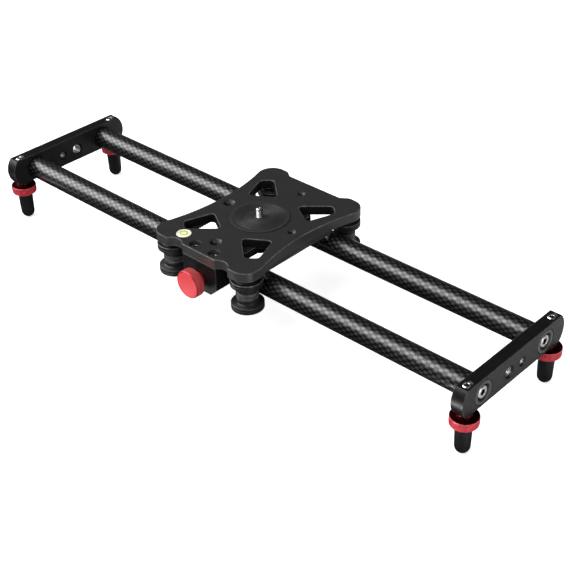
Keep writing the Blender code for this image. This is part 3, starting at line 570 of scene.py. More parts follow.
def skin(rings, closed=False):
    """Vertices and faces over a list of rings; a ring of one point is a pole."""
    verts, faces, starts = [], [], []
    for points in rings:
        starts.append(len(verts))
        verts.extend(map(tuple, points))
    count = len(rings) if closed else len(rings) - 1
    for i in range(count):
        following = (i + 1) % len(rings)
        here, there = starts[i], starts[following]
        steps = max(len(rings[i]), len(rings[following]))
        for k in range(steps):
            j = (k + 1) % steps
            if len(rings[i]) == 1:
                faces.append((there + k, there + j, here))
            elif len(rings[following]) == 1:
                faces.append((there, here + j, here + k))
            else:
                faces.append((there + k, there + j, here + j, here + k))
    return verts, faces


def lathe(profile, steps=96, closed=False, segments=4):
    return skin(rings_of(profile, steps, closed, segments), closed)


def threaded(major, depth, pitch, z_from, z_to, steps=48, per_turn=6, ease=0.6):
    """Rings of a right-hand screw thread from z_from down to z_to; it runs out
    over `ease` turns at both ends."""
    angles = angles_of(steps)
    count = max(4, int(round(abs(z_from - z_to) / pitch * per_turn)))
    rings = []
    for i in range(count + 1):
        z = z_from + (z_to - z_from) * i / count
        phase = (z / pitch - angles / (2 * math.pi)) % 1.0
        tooth = np.clip(np.abs(phase - 0.5) * 2 * 1.35 - 0.12, 0, 1)
        run = min(1.0, min(abs(z - z_from), abs(z - z_to)) / (pitch * ease)) if ease else 1.0
        rings.append(ring(major - depth * tooth * run, z, angles))
    return rings


# --------------------------------------------------------------------------
# Meshes and objects
# --------------------------------------------------------------------------
def store(mesh, name, values, domain="FACE"):
    attribute = mesh.attributes.new(name, "FLOAT", domain)
    attribute.data.foreach_set("value", np.array(values, np.float32))


def edge_flags(faces, milled):
    """1.0 for each narrow face that rounds off an edge."""
    bend = math.radians(9)
    flags = []
    for face in faces:
        edges = sorted(face.edges, key=lambda e: -e.calc_length())
        turns = [len(e.link_faces) == 2 and e.is_convex and e.calc_face_angle(0.0) > bend
                 for e in edges]
        narrow = face.calc_area() / max(edges[0].calc_length(), 1e-9) < 0.55 * MM
        if milled:
            # both long sides must bend, and the facet isn't level
            rim = all(turns[:2]) and abs(face.normal.z) < 0.985 and face.calc_area() > 1e-10
        else:
            rim = sum(turns) >= 2
        flags.append(1.0 if narrow and rim else 0.0)
    return flags


def mark_mesh(mesh, seed=0.0, sharp=32.0, tip_below=None, milled=False, bores=(),
              pockets=False):
    """Stores each point's own place and which faces are edges, and sets the
    shading. The seed shifts the place, so that like pieces differ.

    bores are (x, y, reach) of tapped holes; pockets marks the walls of the deck's windows for
    painted shade.
    """
    work = bmesh.new()
    work.from_mesh(mesh)
    bmesh.ops.remove_doubles(work, verts=work.verts, dist=1e-7)
    bmesh.ops.recalc_face_normals(work, faces=work.faces)
    for face in work.faces:
        face.smooth = True
    flags = edge_flags(work.faces, milled)
    work.to_mesh(mesh)
    work.free()

    flat = np.zeros(len(mesh.vertices) * 3, np.float32)
    mesh.vertices.foreach_get("co", flat)
    loc = flat.reshape(-1, 3) / MM
    shifted = (loc + np.array((0.0, 0.0, seed))).astype(np.float32)
    attribute = mesh.attributes.new("loc", "FLOAT_VECTOR", "POINT")
    attribute.data.foreach_set("vector", shifted.ravel())
    store(mesh, "edge", flags)
    if tip_below is not None:
        store(mesh, "tip", np.clip((tip_below - loc[:, 2]) / 3.0, 0, 1), "POINT")

    def store_walls(name, steepness, test):
        """Marks the faces below a steepness whose centre passes the test."""
        store(mesh, name, [float(abs(poly.normal.z) < steepness and test(poly.center / MM))
                           for poly in mesh.polygons])

    # painted shade: marks the window walls to be darkened
    if pockets:
        store_walls("inner", 0.5, lambda c: 12.0 < abs(c.x) < 48.5 and 21.0 < abs(c.y) < 60.0)
    if bores:
        store_walls("bare", 0.9, lambda c: any(math.hypot(c.x - x, c.y - y) < reach
                                               for x, y, reach in bores))
    mesh.set_sharp_from_angle(angle=math.radians(sharp))


def raw_mesh(name, verts, faces):
    mesh = bpy.data.meshes.new(name)
    mesh.from_pydata([tuple(c * MM for c in v) for v in verts], [], faces)
    return mesh


def mesh_of(name, verts, faces, seed=0.0, sharp=32.0, tip_below=None):
    mesh = raw_mesh(name, verts, faces)
    mark_mesh(mesh, seed, sharp, tip_below)
    return mesh


def turned(name, profile, steps, closed=False, segments=4, **marks):
    return mesh_of(name, *lathe(profile, steps, closed, segments), **marks)


def place(name, mesh, material, where, body, node, turn=UNTURNED, weigh=False):
    """Puts a piece at a point and hands it to its body."""
    obj = bpy.data.objects.new(name, mesh)
    SCENE.collection.objects.link(obj)
    mesh.materials.append(material)
    obj.matrix_world = Matrix.Translation(Vector(tuple(float(c) * MM for c in where))) @ turn
    if weigh:
        weights = obj.modifiers.new("weights", "WEIGHTED_NORMAL")
        weights.keep_sharp = True
        weights.weight = 60
    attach(obj, body)
    if node:
        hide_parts(node)


# --------------------------------------------------------------------------
# Outlines and Booleans for the milled pieces
# --------------------------------------------------------------------------
def arc(x, y, radius, start, end, steps):
    """Points from one angle to another, in degrees."""
    angles = [math.radians(start + (end - start) * i / steps) for i in range(steps + 1)]
    return [(x + radius * math.cos(a), y + radius * math.sin(a)) for a in angles]


def rounded(corners, roundings, steps):
    loop = []
    for i, corner in enumerate(corners):
        after = corners[(i + 1) % len(corners)]
        loop += corner_arc(corners[i - 1], corner, after, roundings[i], steps)
    return loop


def rectangle(x_low, x_high, y_half):
    return [(x_low, -y_half), (x_high, -y_half), (x_high, y_half), (x_low, y_half)]


def thin_out(loop, least):
    """Drops points closer than `least` to the one before."""
    out = []
    for point in loop:
        if not out or math.dist(point, out[-1]) > least:
            out.append(point)
    if math.dist(out[0], out[-1]) < least:
        out.pop()
    return out


def evaluated_mesh(obj):
    bpy.context.view_layer.update()
    graph = bpy.context.evaluated_depsgraph_get()
    mesh = bpy.data.meshes.new_from_object(obj.evaluated_get(graph))
    mesh.materials.clear()
    return mesh


def tidy(mesh, merge=0.0):
    work = bmesh.new()
    work.from_mesh(mesh)
    if merge:
        bmesh.ops.remove_doubles(work, verts=work.verts, dist=merge)
    bmesh.ops.recalc_face_normals(work, faces=work.faces)
    work.to_mesh(mesh)
    work.free()


def slab(name, loops, thickness, edge, segments=3):
    """A flat blank with rounded rims, centred on its own z = 0."""
    curve = bpy.data.curves.new(name, "CURVE")
    curve.dimensions = "2D"
    curve.fill_mode = "BOTH"
    curve.extrude = (thickness / 2 - edge) * MM
    curve.bevel_depth = edge * MM
    curve.bevel_resolution = segments
    curve.offset = -edge * MM
    for loop in loops:
        spline = curve.splines.new("POLY")
        spline.points.add(len(loop) - 1)
        for point, (x, y) in zip(spline.points, loop):
            point.co = (x * MM, y * MM, 0, 1)
        spline.use_cyclic_u = True
    guide = bpy.data.objects.new(name, curve)
    SCENE.collection.objects.link(guide)
    mesh = evaluated_mesh(guide)
    bpy.data.objects.remove(guide, do_unlink=True)
    tidy(mesh, merge=1e-6)
    return mesh


def carve(mesh, cutters, joins=()):
    """The blank with every (verts, faces, matrix) join added to it and every
    cutter taken away from it."""
    blank = bpy.data.objects.new("blank", mesh)
    SCENE.collection.objects.link(blank)
    made = [blank]
    steps = [(*j, "UNION") for j in joins] + [(*c, "DIFFERENCE") for c in cutters]
    for verts, faces, matrix, operation in steps:
        tool_mesh = raw_mesh("cutter", verts, faces)
        tidy(tool_mesh)
        tool = bpy.data.objects.new("cutter", tool_mesh)
        SCENE.collection.objects.link(tool)
        tool.matrix_world = matrix
        made.append(tool)
        boolean = blank.modifiers.new("cut", "BOOLEAN")
        boolean.operation = operation
        boolean.solver = "EXACT"
        boolean.object = tool
    out = evaluated_mesh(blank)
    for obj in made:
        bpy.data.objects.remove(obj, do_unlink=True)
    return out


def at(x, y, z=0.0, turn=UNTURNED):
    return Matrix.Translation((x * MM, y * MM, z * MM)) @ turn


def bore(profile, x, y, z=0.0, turn=UNTURNED, steps=72):
    """A turned cutter in its place."""
    return (*lathe(profile, steps), at(x, y, z, turn))


def tapped(thread, z_low, z_high, x, y):
    """Cutter for a tapped hole; its ends reach past the faces."""
    radius, pitch = thread
    depth = 0.45
    rings = threaded(radius + depth * 0.35, depth, pitch, z_high, z_low, steps=40, ease=0.0)
    ends = [np.array([(0.0, 0.0, z)]) for z in (z_high, z_low)]
    return (*skin([ends[0], *rings, ends[1]]), at(x, y))


# --------------------------------------------------------------------------
# Rails
# --------------------------------------------------------------------------
TUBE_R = size("rail_tube_front")[2] / 2
TUBE_HALF = size("rail_tube_front")[0] / 2
WALL = 1.5
BARREL_PARTS = 24           # rings along the barrel keep the cloth even
CELL_LENGTH = 4.3           # of the weave, along the tube
CELLS_AROUND = 28


def tube_mesh(name, seed):
    soft = soften([(TUBE_R, TUBE_HALF, 0.35), (TUBE_R, -TUBE_HALF, 0.35),
                   (TUBE_R - WALL, -TUBE_HALF, 0.25), (TUBE_R - WALL, TUBE_HALF, 0.25)],
                  closed=True, segments=3)
    rows = []
    for i, point in enumerate(soft):
        rows.append(point)
        rise = soft[(i + 1) % len(soft)][1] - point[1]
        if abs(rise) > TUBE_HALF:
            rows += [(point[0], point[1] + rise * k / BARREL_PARTS, None)
                     for k in range(1, BARREL_PARTS)]
    mesh = mesh_of(name, *skin(rings_at(rows, steps=128), closed=True), seed)
    layer = mesh.uv_layers.new(name="weave")
    for poly in mesh.polygons:
        first = None
        for index in poly.loop_indices:
            point = mesh.vertices[mesh.loops[index].vertex_index].co
            angle = math.atan2(point.y, point.x) % (2 * math.pi)
            if first is None:
                first = angle
            # a face across the seam keeps to one side of it
            if angle - first > math.pi:
                angle -= 2 * math.pi
            elif first - angle > math.pi:
                angle += 2 * math.pi
            # whole-cell offsets keep the coordinates positive
            layer.data[index].uv = (point.z / MM / CELL_LENGTH + 400.0,
                                    angle / (2 * math.pi) * CELLS_AROUND + 56.0)
    return mesh


for side, seed in (("front", 0.0), ("rear", 31.0)):
    node = f"rail_tube_{side}"
    place(node + "_woven", tube_mesh(node, seed), CARBON, centre(node), "frame", node,
          Z_TO_X)

# --------------------------------------------------------------------------
# End plates, drawn with x across the rails, y up and z outward
# --------------------------------------------------------------------------
PLATE_C = centre("end_plate_right")
PLATE_T, PLATE_WIDTH, PLATE_HEIGHT = size("end_plate_right")
PLATE_TOP = PLATE_C[2] + PLATE_HEIGHT / 2 - Z0
PLATE_BOTTOM = PLATE_C[2] - PLATE_HEIGHT / 2 - Z0
PLATE_BULGE = 5.6           # how far each end bows out
LEG_Y = abs(centre("leg_stud_right_rear")[1] - Y0)
LEG_HOLE_R = 4.05
TAP_HEIGHT = -0.9
# (across, thread, radius that shows bare metal)
PLATE_TAPS = [(-8.9, LARGE_THREAD, 5.0), (9.8, SMALL_THREAD, 3.4)]


def plate_outline():
    half_width = PLATE_WIDTH / 2
    half_flat = half_width - PLATE_BULGE
    middle, half = (PLATE_TOP + PLATE_BOTTOM) / 2, (PLATE_TOP - PLATE_BOTTOM) / 2
    bulge = half_width - half_flat
    radius = (half * half + bulge * bulge) / (2 * bulge)
    swing = math.degrees(math.asin(half / radius))
    return (arc(half_width - radius, middle, radius, -swing, swing, 28)
            + arc(-half_width + radius, middle, radius, 180 - swing, 180 + swing, 28))


def end_plate_mesh(seed):
    face = PLATE_T / 2
    # washer seat on the outer face, screw hole, tube seat on the inner face
    cup = [(0, face + 2), (11.7, face + 2), (11.7, face), (11.15, face - 0.55),
           (11.15, face - 6.4, 0.2), (3.4, face - 6.4), (3.4, -face + 4.4),
           (11.2, -face + 4.4), (11.2, -face + 0.35), (11.6, -face - 0.05),
           (11.6, -face - 2), (0, -face - 2)]
    leg = [(0, 20), (LEG_HOLE_R, 20), (LEG_HOLE_R, -20), (0, -20)]
    rim = [(0, 3), (5.0, 3), (5.0, 0.4), (LEG_HOLE_R, -0.55), (0, -0.55)]
    cutters = []
    for y in (-RAIL_Y, RAIL_Y):
        leg_y = math.copysign(LEG_Y, y)
        cutters += [bore(cup, y, 0, steps=96),
                    bore(leg, leg_y, 0, 0, Z_TO_Y, steps=48),
                    bore(rim, leg_y, PLATE_TOP - 0.4, 0, Z_TO_Y, steps=48),
                    bore(rim, leg_y, PLATE_BOTTOM + 0.4, 0, Z_TO_MINUS_Y, steps=48)]
    for y, thread, _ in PLATE_TAPS:
        cutters.append(tapped(thread, -face - 1.5, face + 1.5, y, TAP_HEIGHT))
        radius = thread[0]
        sink = [(0, 2.0), (radius + 1.5, 2.0), (radius + 1.5, 0.0, 0.12),
                (radius - 0.35, -1.85), (0, -1.85)]
        cutters += [bore(sink, y, TAP_HEIGHT, face),
                    bore(sink, y, TAP_HEIGHT, -face, Z_FLIPPED)]
    mesh = carve(slab("end_plate", [plate_outline()], PLATE_T, edge=0.55), cutters)
    mark_mesh(mesh, seed, sharp=34.0, milled=True,
              bores=[(y, TAP_HEIGHT, reach) for y, _, reach in PLATE_TAPS])
    return mesh


UPRIGHT = Matrix.Rotation(math.pi / 2, 4, "Z") @ Z_TO_MINUS_Y
for end, seed, turn in (("right", 0.0, UPRIGHT),
                        ("left", 17.0, Matrix.Rotation(math.pi, 4, "Z") @ UPRIGHT)):
    node = f"end_plate_{end}"
    place(node + "_milled", end_plate_mesh(seed), PLATE, (centre(node)[0], Y0, Z0), "frame",
          node, turn, weigh=True)

# --------------------------------------------------------------------------
# Tube ends: insert, cup washer and socket screw; legs
# --------------------------------------------------------------------------
STUD_TOP, STUD_BOTTOM = 14.6, -37.0
RING_BOTTOM = -24.2
RING_KNURL = (96, 0.22)
FOOT_TOP, FOOT_DOME, FOOT_TIP = -24.6, -46.7, -53.5
FOOT_R, FOOT_TIP_R = 6.8, 2.4
SCREW_KNURL = (48, 0.22)

# Both lie with z = 0 on the end plate's outer face and z outward.
CUP_WASHER = [(10.9, -0.1, 0.35), (10.9, -6.1, 0.3), (3.4, -6.1), (3.4, -5.1, 0.1),
              (7.55, -5.1, 0.2), (7.7, -0.9), (8.15, -0.1, 0.15)]
TUBE_SCREW = [(0, -3.4), (1.2, -3.4), (2.5, -3.25, 0, "hex"), (2.5, -1.05, 0, "hex"),
              (2.95, -0.8), (5.15, -0.8, 0.35), (5.75, -1.35, 0.25),
              (5.8, -1.7, 0, SCREW_KNURL), (5.8, -4.4, 0, SCREW_KNURL), (5.7, -4.8),
              (3.0, -4.8), (3.0, -29.4, 0.3), (2.4, -30.0), (0, -30.0)]


def stud_mesh(seed):
    """Leg stud with a rolled thread and a hex socket in its top end."""
    steps = 48
    head = rings_of([(0, STUD_TOP - 4.0), (2.0, STUD_TOP - 4.0, 0.0, "hex"),
                     (2.0, STUD_TOP - 0.25, 0.0, "hex"), (2.35, STUD_TOP),
                     (3.25, STUD_TOP, 0.15)], steps)
    screw = threaded(3.8, 0.42, 1.25, STUD_TOP - 0.55, STUD_BOTTOM + 0.9, steps)
    tail = rings_of([(3.0, STUD_BOTTOM), (0, STUD_BOTTOM)], steps)
    return mesh_of("leg_stud", *skin(head + screw + tail), seed, sharp=38.0)


def ring_mesh():
    """Knurled lock ring with plain lands above and below the knurl."""
    top, bottom = RING_TOP, RING_BOTTOM
    profile = [(4.05, -13.0, 0.3), (6.6, -13.0, 0.35), (6.6, top, 0.3), (12.45, top, 0.55),
               (12.45, top - 1.15), (12.5, top - 1.45, 0.0, RING_KNURL),
               (12.5, bottom + 2.15, 0.0, RING_KNURL), (12.4, bottom + 1.85),
               (12.3, bottom, 1.2), (8.9, bottom, 0.15), (8.5, bottom + 0.5, 0.1),
               (6.2, bottom + 0.5, 0.1), (4.6, bottom + 0.5), (4.05, bottom + 1.0)]
    return turned("lock_ring", profile, 384, closed=True)


def foot_mesh(seed):
    """Moulded foot: a bead at its mouth, a tapered body and a domed tip."""
    top = FOOT_TOP
    profile = [(4.05, top, 0.2), (7.35, top, 0.5), (7.7, top - 1.1, 0.5),
               (7.62, top - 2.0, 0.3), (7.38, top - 2.35, 0.2), (6.85, FOOT_DOME + 0.6)]
    reach = math.acos(FOOT_TIP_R / FOOT_R)
    for i in range(13):
        angle = reach * i / 12
        drop = (FOOT_DOME - FOOT_TIP) * math.sin(angle) / math.sin(reach)
        profile.append((FOOT_R * math.cos(angle), FOOT_DOME - drop))
    profile += [(0, FOOT_TIP), (0, STUD_BOTTOM - 0.3), (4.05, STUD_BOTTOM - 0.3)]
    return turned("rubber_foot", profile, 72, closed=True, seed=seed, sharp=40.0,
                  tip_below=FOOT_TIP + 4.2)


def insert_mesh(node, seed):
    """Grooved plug inside a tube's end."""
    length, width, _ = size(node)
    half, radius = length / 2, width / 2
    profile = [(radius, half, 0.3), (radius, half - 3.0, 0.1), (radius - 0.25, half - 3.2),
               (radius - 0.25, half - 3.9), (radius, half - 4.1, 0.1), (radius, -half, 0.5),
               (3.3, -half, 0.3), (3.3, half, 0.3)]
    return turned("tube_insert", profile, 72, closed=True, seed=seed)


for i, (end, side) in enumerate(TAGS):
    tag = f"{end}_{side}"
    sign = 1 if end == "right" else -1
    turn = Z_TO_X if sign > 0 else Z_TO_MINUS_X
    spin = Matrix.Rotation(0.4 + i * 1.31, 4, "Z")
    plate_x = PLATE_C[0] * sign
    outer = (plate_x + sign * PLATE_T / 2, centre(f"tube_screw_{tag}")[1], Z0)
    leg = (plate_x, centre(f"leg_stud_{tag}")[1], Z0)
    insert = centre(f"tube_insert_{tag}")
    place(f"cup_washer_{tag}_turned",
          turned("cup_washer", CUP_WASHER, 96, closed=True, seed=i * 7.0),
          GREY_TURNED, outer, "frame", f"cup_washer_{tag}", turn)
    place(f"tube_screw_{tag}_turned", turned("tube_screw", TUBE_SCREW, 192, seed=i * 5.0),
          STEEL_HEAD, outer, "frame", f"tube_screw_{tag}", turn @ spin)
    place(f"leg_stud_{tag}_threaded", stud_mesh(i * 3.0), STEEL_STUD, leg, f"stud_{tag}",
          f"leg_stud_{tag}", spin)
    place(f"lock_ring_{tag}_knurled", ring_mesh(), RED, leg, f"ring_{tag}",
          f"lock_ring_{tag}")
    place(f"rubber_foot_{tag}_moulded", foot_mesh(i * 11.0), RUBBER, leg, f"foot_{tag}",
          f"rubber_foot_{tag}")
    place(f"tube_insert_{tag}_turned", insert_mesh(f"tube_insert_{tag}", i * 4.0),
          GREY_TURNED, (insert[0], insert[1], Z0), "frame", f"tube_insert_{tag}",
          turn)

# --------------------------------------------------------------------------
# Carriage deck
# --------------------------------------------------------------------------
DECK_HEIGHT = size("carriage_plate")[2]
DECK_TOP = centre("carriage_plate")[2] + DECK_HEIGHT / 2 - Z0
DECK_T = 9.5
DECK_BOTTOM = DECK_TOP - DECK_T
DECK_MID = DECK_TOP - DECK_T / 2
UNDER_Z = DECK_TOP - DECK_HEIGHT        # bottom of the boss and ribs
ROLLER = centre("roller_right_rear")
ROLLER_X, ROLLER_Y = ROLLER[0] - CARRIAGE_X, ROLLER[1] - Y0
LOBE_R = 15.0                           # round each roller axle
WAIST_X = 51.7                          # half width at the waist
REAR_Y, TAB_Y = 75.2, 78.6              # rear edge, and front edge between the scallops
NOTCH_R, NOTCH_X, NOTCH_Y = 10.7, 29.0, 85.4        # scallops in the front edge
DISC_R = size("friction_disc")[0] / 2
LEVEL = centre("level_case")
LEVEL_X, LEVEL_Y = LEVEL[0] - CARRIAGE_X, LEVEL[1] - Y0
LEVEL_R, LEVEL_FLOOR = size("level_case")[0] / 2, 23.6
CLAMP = centre("block_screw_right")
CLAMP_X, CLAMP_Y = CLAMP[0] - CARRIAGE_X, CLAMP[1] - Y0
# Tapped holes: (x, y, thread, countersink, radius that shows bare metal)
DECK_TAPS = [(-40.0, 0, LARGE_THREAD, 1.1, 5.0), (40.0, 0, SMALL_THREAD, 0.9, 3.4),
             (0, -56.7, LARGE_THREAD, 1.1, 5.0), (0, 56.7, SMALL_THREAD, 0.9, 3.4)]
# One of the four windows: corners and how far each is rounded
WINDOW = [(13.0, 37.2), (38.0, 59.0), (47.6, 50.6), (37.5, 22.2)]
WINDOW_ROUNDINGS = (3.6, 4.2, 4.2, 3.6)


def mirrored(points):
    """The points again, mirrored in x and in reverse order."""
    return [(-x, y) for x, y in reversed(points)]


def deck_outline():
    inset = WAIST_X - ROLLER_X
    side_r = ((ROLLER_Y * ROLLER_Y + inset * inset - LOBE_R * LOBE_R)
              / (2 * (LOBE_R - inset)))
    swing = math.degrees(math.asin(ROLLER_Y / (side_r + LOBE_R)))
    top = ROLLER_Y + LOBE_R
    bends = [(ROLLER_X, top), (39.5, top), (32.0, REAR_Y), (0, REAR_Y)]
    half = arc(WAIST_X + side_r, 0, side_r, 180 + swing, 180 - swing, 40)
    half += arc(ROLLER_X, ROLLER_Y, LOBE_R, -swing, 90, 36)[1:]
    half += corner_arc(*bends[:3], radius=7.0)
    half += corner_arc(*bends[1:], radius=7.0)
    half += mirrored(half)
    front = arc(-ROLLER_X, -ROLLER_Y, LOBE_R, 180 + swing, 270, 36)[1:]
    lobe_angle = math.degrees(math.asin((NOTCH_Y - top) / NOTCH_R))
    tab_angle = math.degrees(math.asin((NOTCH_Y - TAB_Y) / NOTCH_R))
    front += arc(-NOTCH_X, -NOTCH_Y, NOTCH_R, 180 - lobe_angle, tab_angle, 26)
    front += mirrored(front)
    return thin_out(half + front[:-1], 0.08)


def window(sign_x, sign_y):
    loop = rounded(WINDOW, WINDOW_ROUNDINGS, 10)
    loop = thin_out([(x * sign_x, y * sign_y) for x, y in loop], 0.05)
    return loop if sign_x * sign_y > 0 else list(reversed(loop))


def under_bar(name, loop, bottom, height):
    """Slab under the plate, to be joined to it."""
    mesh = slab(name, [loop], height, edge=0.5, segments=2)
    verts = [tuple(c / MM for c in v.co) for v in mesh.vertices]
    faces = [tuple(p.vertices) for p in mesh.polygons]
    return verts, faces, at(0, 0, bottom + height / 2 - DECK_MID)


def under_rib(sign_x):
    """Rounded bar under one waist of the deck."""
    loop = rounded(rectangle(47.8, 50.9, 44.0), (1.5,) * 4, 6)
    loop = loop if sign_x > 0 else mirrored(loop)
    return under_bar("rib", loop, UNDER_Z, DECK_BOTTOM + 1.0 - UNDER_Z)


def deck_mesh():
    top, low, under = DECK_T / 2, -DECK_T / 2, UNDER_Z - DECK_MID
    corners = [(sign_x, sign_y) for sign_x in (1, -1) for sign_y in (1, -1)]
    disc_seat = [(0, top + 1), (DISC_R + 0.58, top + 1), (DISC_R + 0.58, top + 0.03),
                 (DISC_R + 0.25, top - 0.3), (DISC_R + 0.25, top - 1.4), (3.5, top - 1.4),
                 (3.5, low + 4.4), (7.0, low + 4.4), (7.0, under + 0.4), (7.4, under),
                 (7.4, under - 1), (0, under - 1)]
    level_floor = LEVEL_FLOOR - DECK_MID
    level_seat = [(0, top + 1), (LEVEL_R + 0.63, top + 1), (LEVEL_R + 0.63, top + 0.03),
                  (LEVEL_R + 0.25, top - 0.35), (LEVEL_R + 0.25, level_floor),
                  (0, level_floor)]
    clamp_seat = [(0, top + 1), (5.78, top + 1), (5.78, top + 0.03), (5.4, top - 0.35),
                  (5.4, low + 1.6), (2.9, low + 1.6), (2.9, low - 1), (0, low - 1)]
    axle_hole = [(0, low + 7.2), (3.3, low + 7.2), (3.3, low + 0.3), (3.63, low - 0.03),
                 (3.63, low - 1), (0, low - 1)]
    cutters = [bore(disc_seat, 0, 0, steps=144),
               bore(level_seat, LEVEL_X, LEVEL_Y, steps=96)]
    for x, y, thread, sink, _ in DECK_TAPS:
        radius = thread[0]
        # the two side holes also pass through the hub
        foot = under - 1.5 if x else low - 1.5
        mouth, floor_z = radius + sink + 0.03, top - sink - 0.35
        cutters += [tapped(thread, foot, top + 1.5, x, y),
                    bore([(0, top + 1), (mouth, top + 1), (mouth, top + 0.03),
                          (radius - 0.35, floor_z), (0, floor_z)], x, y),
                    bore([(0, low - 1), (radius + 0.78, low - 1), (radius + 0.78, low - 0.03),
                          (radius - 0.35, low + 1.1), (0, low + 1.1)], x, y)]
    cutters += [bore(clamp_seat, x, CLAMP_Y) for x in (-CLAMP_X, CLAMP_X)]
    cutters += [bore(axle_hole, sign_x * ROLLER_X, sign_y * ROLLER_Y, steps=48)
                for sign_x, sign_y in corners]
    hub = bore([(0, low + 1.0), (36.3, low + 1.0), (36.3, under, 0.6), (0, under)], 0, 0,
               steps=144)
    spine = under_bar("spine", rounded(rectangle(-24.0, 24.0, 45.0), (3.0,) * 4, 8),
                      UNDER_Z + 0.5, DECK_BOTTOM + 0.8 - UNDER_Z - 0.5)
    loops = [deck_outline()] + [window(*signs) for signs in corners]
    mesh = carve(slab("deck", loops, DECK_T, edge=0.7), cutters,
                 [hub, spine, under_rib(1), under_rib(-1)])
    mark_mesh(mesh, sharp=34.0, milled=True, pockets=True,
              bores=[(x, y, reach) for x, y, _, _, reach in DECK_TAPS])
    return mesh


def disc_mesh():
    """Camera seat with turned concentric grooves and a plain outer land."""
    top, low = DECK_TOP + 0.9, DECK_TOP - 1.15
    profile = [(DISC_R, top, 0.30), (DISC_R, low, 0.2), (3.5, low), (3.5, top - 0.3),
               (3.8, top), (5.2, top)]
    radius, pitch, depth = 5.2, 1.62, 0.40
    while radius + pitch < DISC_R - 1.9:
        profile += [(radius + 0.32, top - depth), (radius + 0.70, top - depth),
                    (radius + 1.02, top), (radius + pitch, top)]
        radius += pitch
    return turned("friction_disc", profile, 160, closed=True, sharp=24.0)


place("carriage_plate_milled", deck_mesh(), DECK, (CARRIAGE_X, Y0, Z0 + DECK_TOP - DECK_T / 2),
      "carriage", "carriage_plate", weigh=True)
place("friction_disc_grooved", disc_mesh(), DISC, CARRIAGE, "carriage", "friction_disc")

# Camera stud: its screw stands up out of the disc, its head is under the plate.
CAMERA_TOP = centre("camera_stud")[2] + size("camera_stud")[2] / 2 - Z0
CAMERA_HEAD = DECK_BOTTOM + 4.1         # top of the head
# painted shade: root= darkens the thread roots
NICKEL = metal("nickel_plated_stud", (0.52, 0.52, 0.53), rough=0.30, metallic=1.0,
               edge_wear_and_sheen_colour=(0.7, 0.7, 0.7), edge_wear_and_sheen=0.3, turned=True, mottle=0.10, grain=0.006,
               root=(2.66, 3.05, CAMERA_TOP - 0.6))


def camera_stud_mesh():
    steps, top, head = 60, CAMERA_TOP, CAMERA_HEAD
    major, pitch = SMALL_THREAD
    rings = rings_of([(0, top - 0.55), (0.35, top - 0.5), (0.7, top - 0.05),
                      (2.05, top, 0.1), (2.5, top - 0.35)], steps)
    rings += threaded(major, 0.60, pitch, top - 0.85, head + 0.5, steps, per_turn=10,
                      ease=0.5)
    rings += rings_of([(3.1, head + 0.2), (3.1, head, 0.05), (6.6, head, 0.4),
                       (6.6, DECK_BOTTOM + 0.4, 0.4), (2.75, DECK_BOTTOM + 0.4),
                       (2.4, DECK_BOTTOM + 0.65, 0, "hex"),
                       (2.4, DECK_BOTTOM + 3.0, 0, "hex"), (0, DECK_BOTTOM + 3.1)], steps)
    return mesh_of("camera_stud", *skin(rings), sharp=38.0)


place("camera_stud_threaded", camera_stud_mesh(), NICKEL, CARRIAGE, "carriage",
      "camera_stud", Matrix.Rotation(0.7, 4, "Z"))

# --------------------------------------------------------------------------
# Round level: case, domed vial, ring mark and bubble
# --------------------------------------------------------------------------
LEVEL_AT = (LEVEL[0], LEVEL[1], Z0)
VIAL_R = LEVEL_R - 1.4
MARK_R, BUBBLE_R = 3.3, 1.75


def case_mesh():
    rim, floor_z = DECK_TOP - 0.1, LEVEL_FLOOR
    profile = [(LEVEL_R, rim, 0.25), (LEVEL_R, floor_z + 0.25, 0.2), (0, floor_z + 0.25),
               (0, floor_z + 1.4), (LEVEL_R - 1.1, floor_z + 1.4, 0.2),
               (LEVEL_R - 1.1, DECK_TOP - 0.35), (LEVEL_R - 0.9, rim)]
    return turned("level_case", profile, 72, closed=True)


def vial_mesh():
    profile = [(0, DECK_TOP + 0.25)]
    for i in range(1, 13):
        radius = VIAL_R * i / 12.5
        profile.append((radius, DECK_TOP + 0.25 - 0.85 * (radius / VIAL_R) ** 2.4))
    profile += [(VIAL_R, DECK_TOP - 0.75), (VIAL_R, LEVEL_FLOOR + 1.7, 0.2),
                (0, LEVEL_FLOOR + 1.7)]
    return turned("level_vial", profile, 72)


def ring_mark_mesh():
    angles = [2 * math.pi * i / 12 for i in range(12)]
    profile = [(MARK_R + 0.17 * math.cos(a), DECK_TOP + 0.10 + 0.06 * math.sin(a))
               for a in angles]
    return turned("level_ring_mark", profile, 72, closed=True)


def bubble_mesh():
    profile = [(0, DECK_TOP + 0.42)]
    for i in range(1, 9):
        angle = math.pi / 2 * i / 8
        profile.append((BUBBLE_R * math.sin(angle), DECK_TOP + 0.16 + 0.26 * math.cos(angle)))
    profile.append((0, DECK_TOP + 0.14))
    return turned("level_bubble", profile, 48)


place("level_case_moulded", case_mesh(), CASE, LEVEL_AT, "carriage", "level_case")
place("level_vial_lens", vial_mesh(), FLUID, LEVEL_AT, "carriage", "level_vial")
place("level_ring_mark", ring_mark_mesh(), MARK, LEVEL_AT, "carriage", None)
place("level_bubble", bubble_mesh(), BUBBLE,
      (LEVEL_AT[0] + 0.35, LEVEL_AT[1] + 0.2, LEVEL_AT[2] - 0.03), "carriage", None)

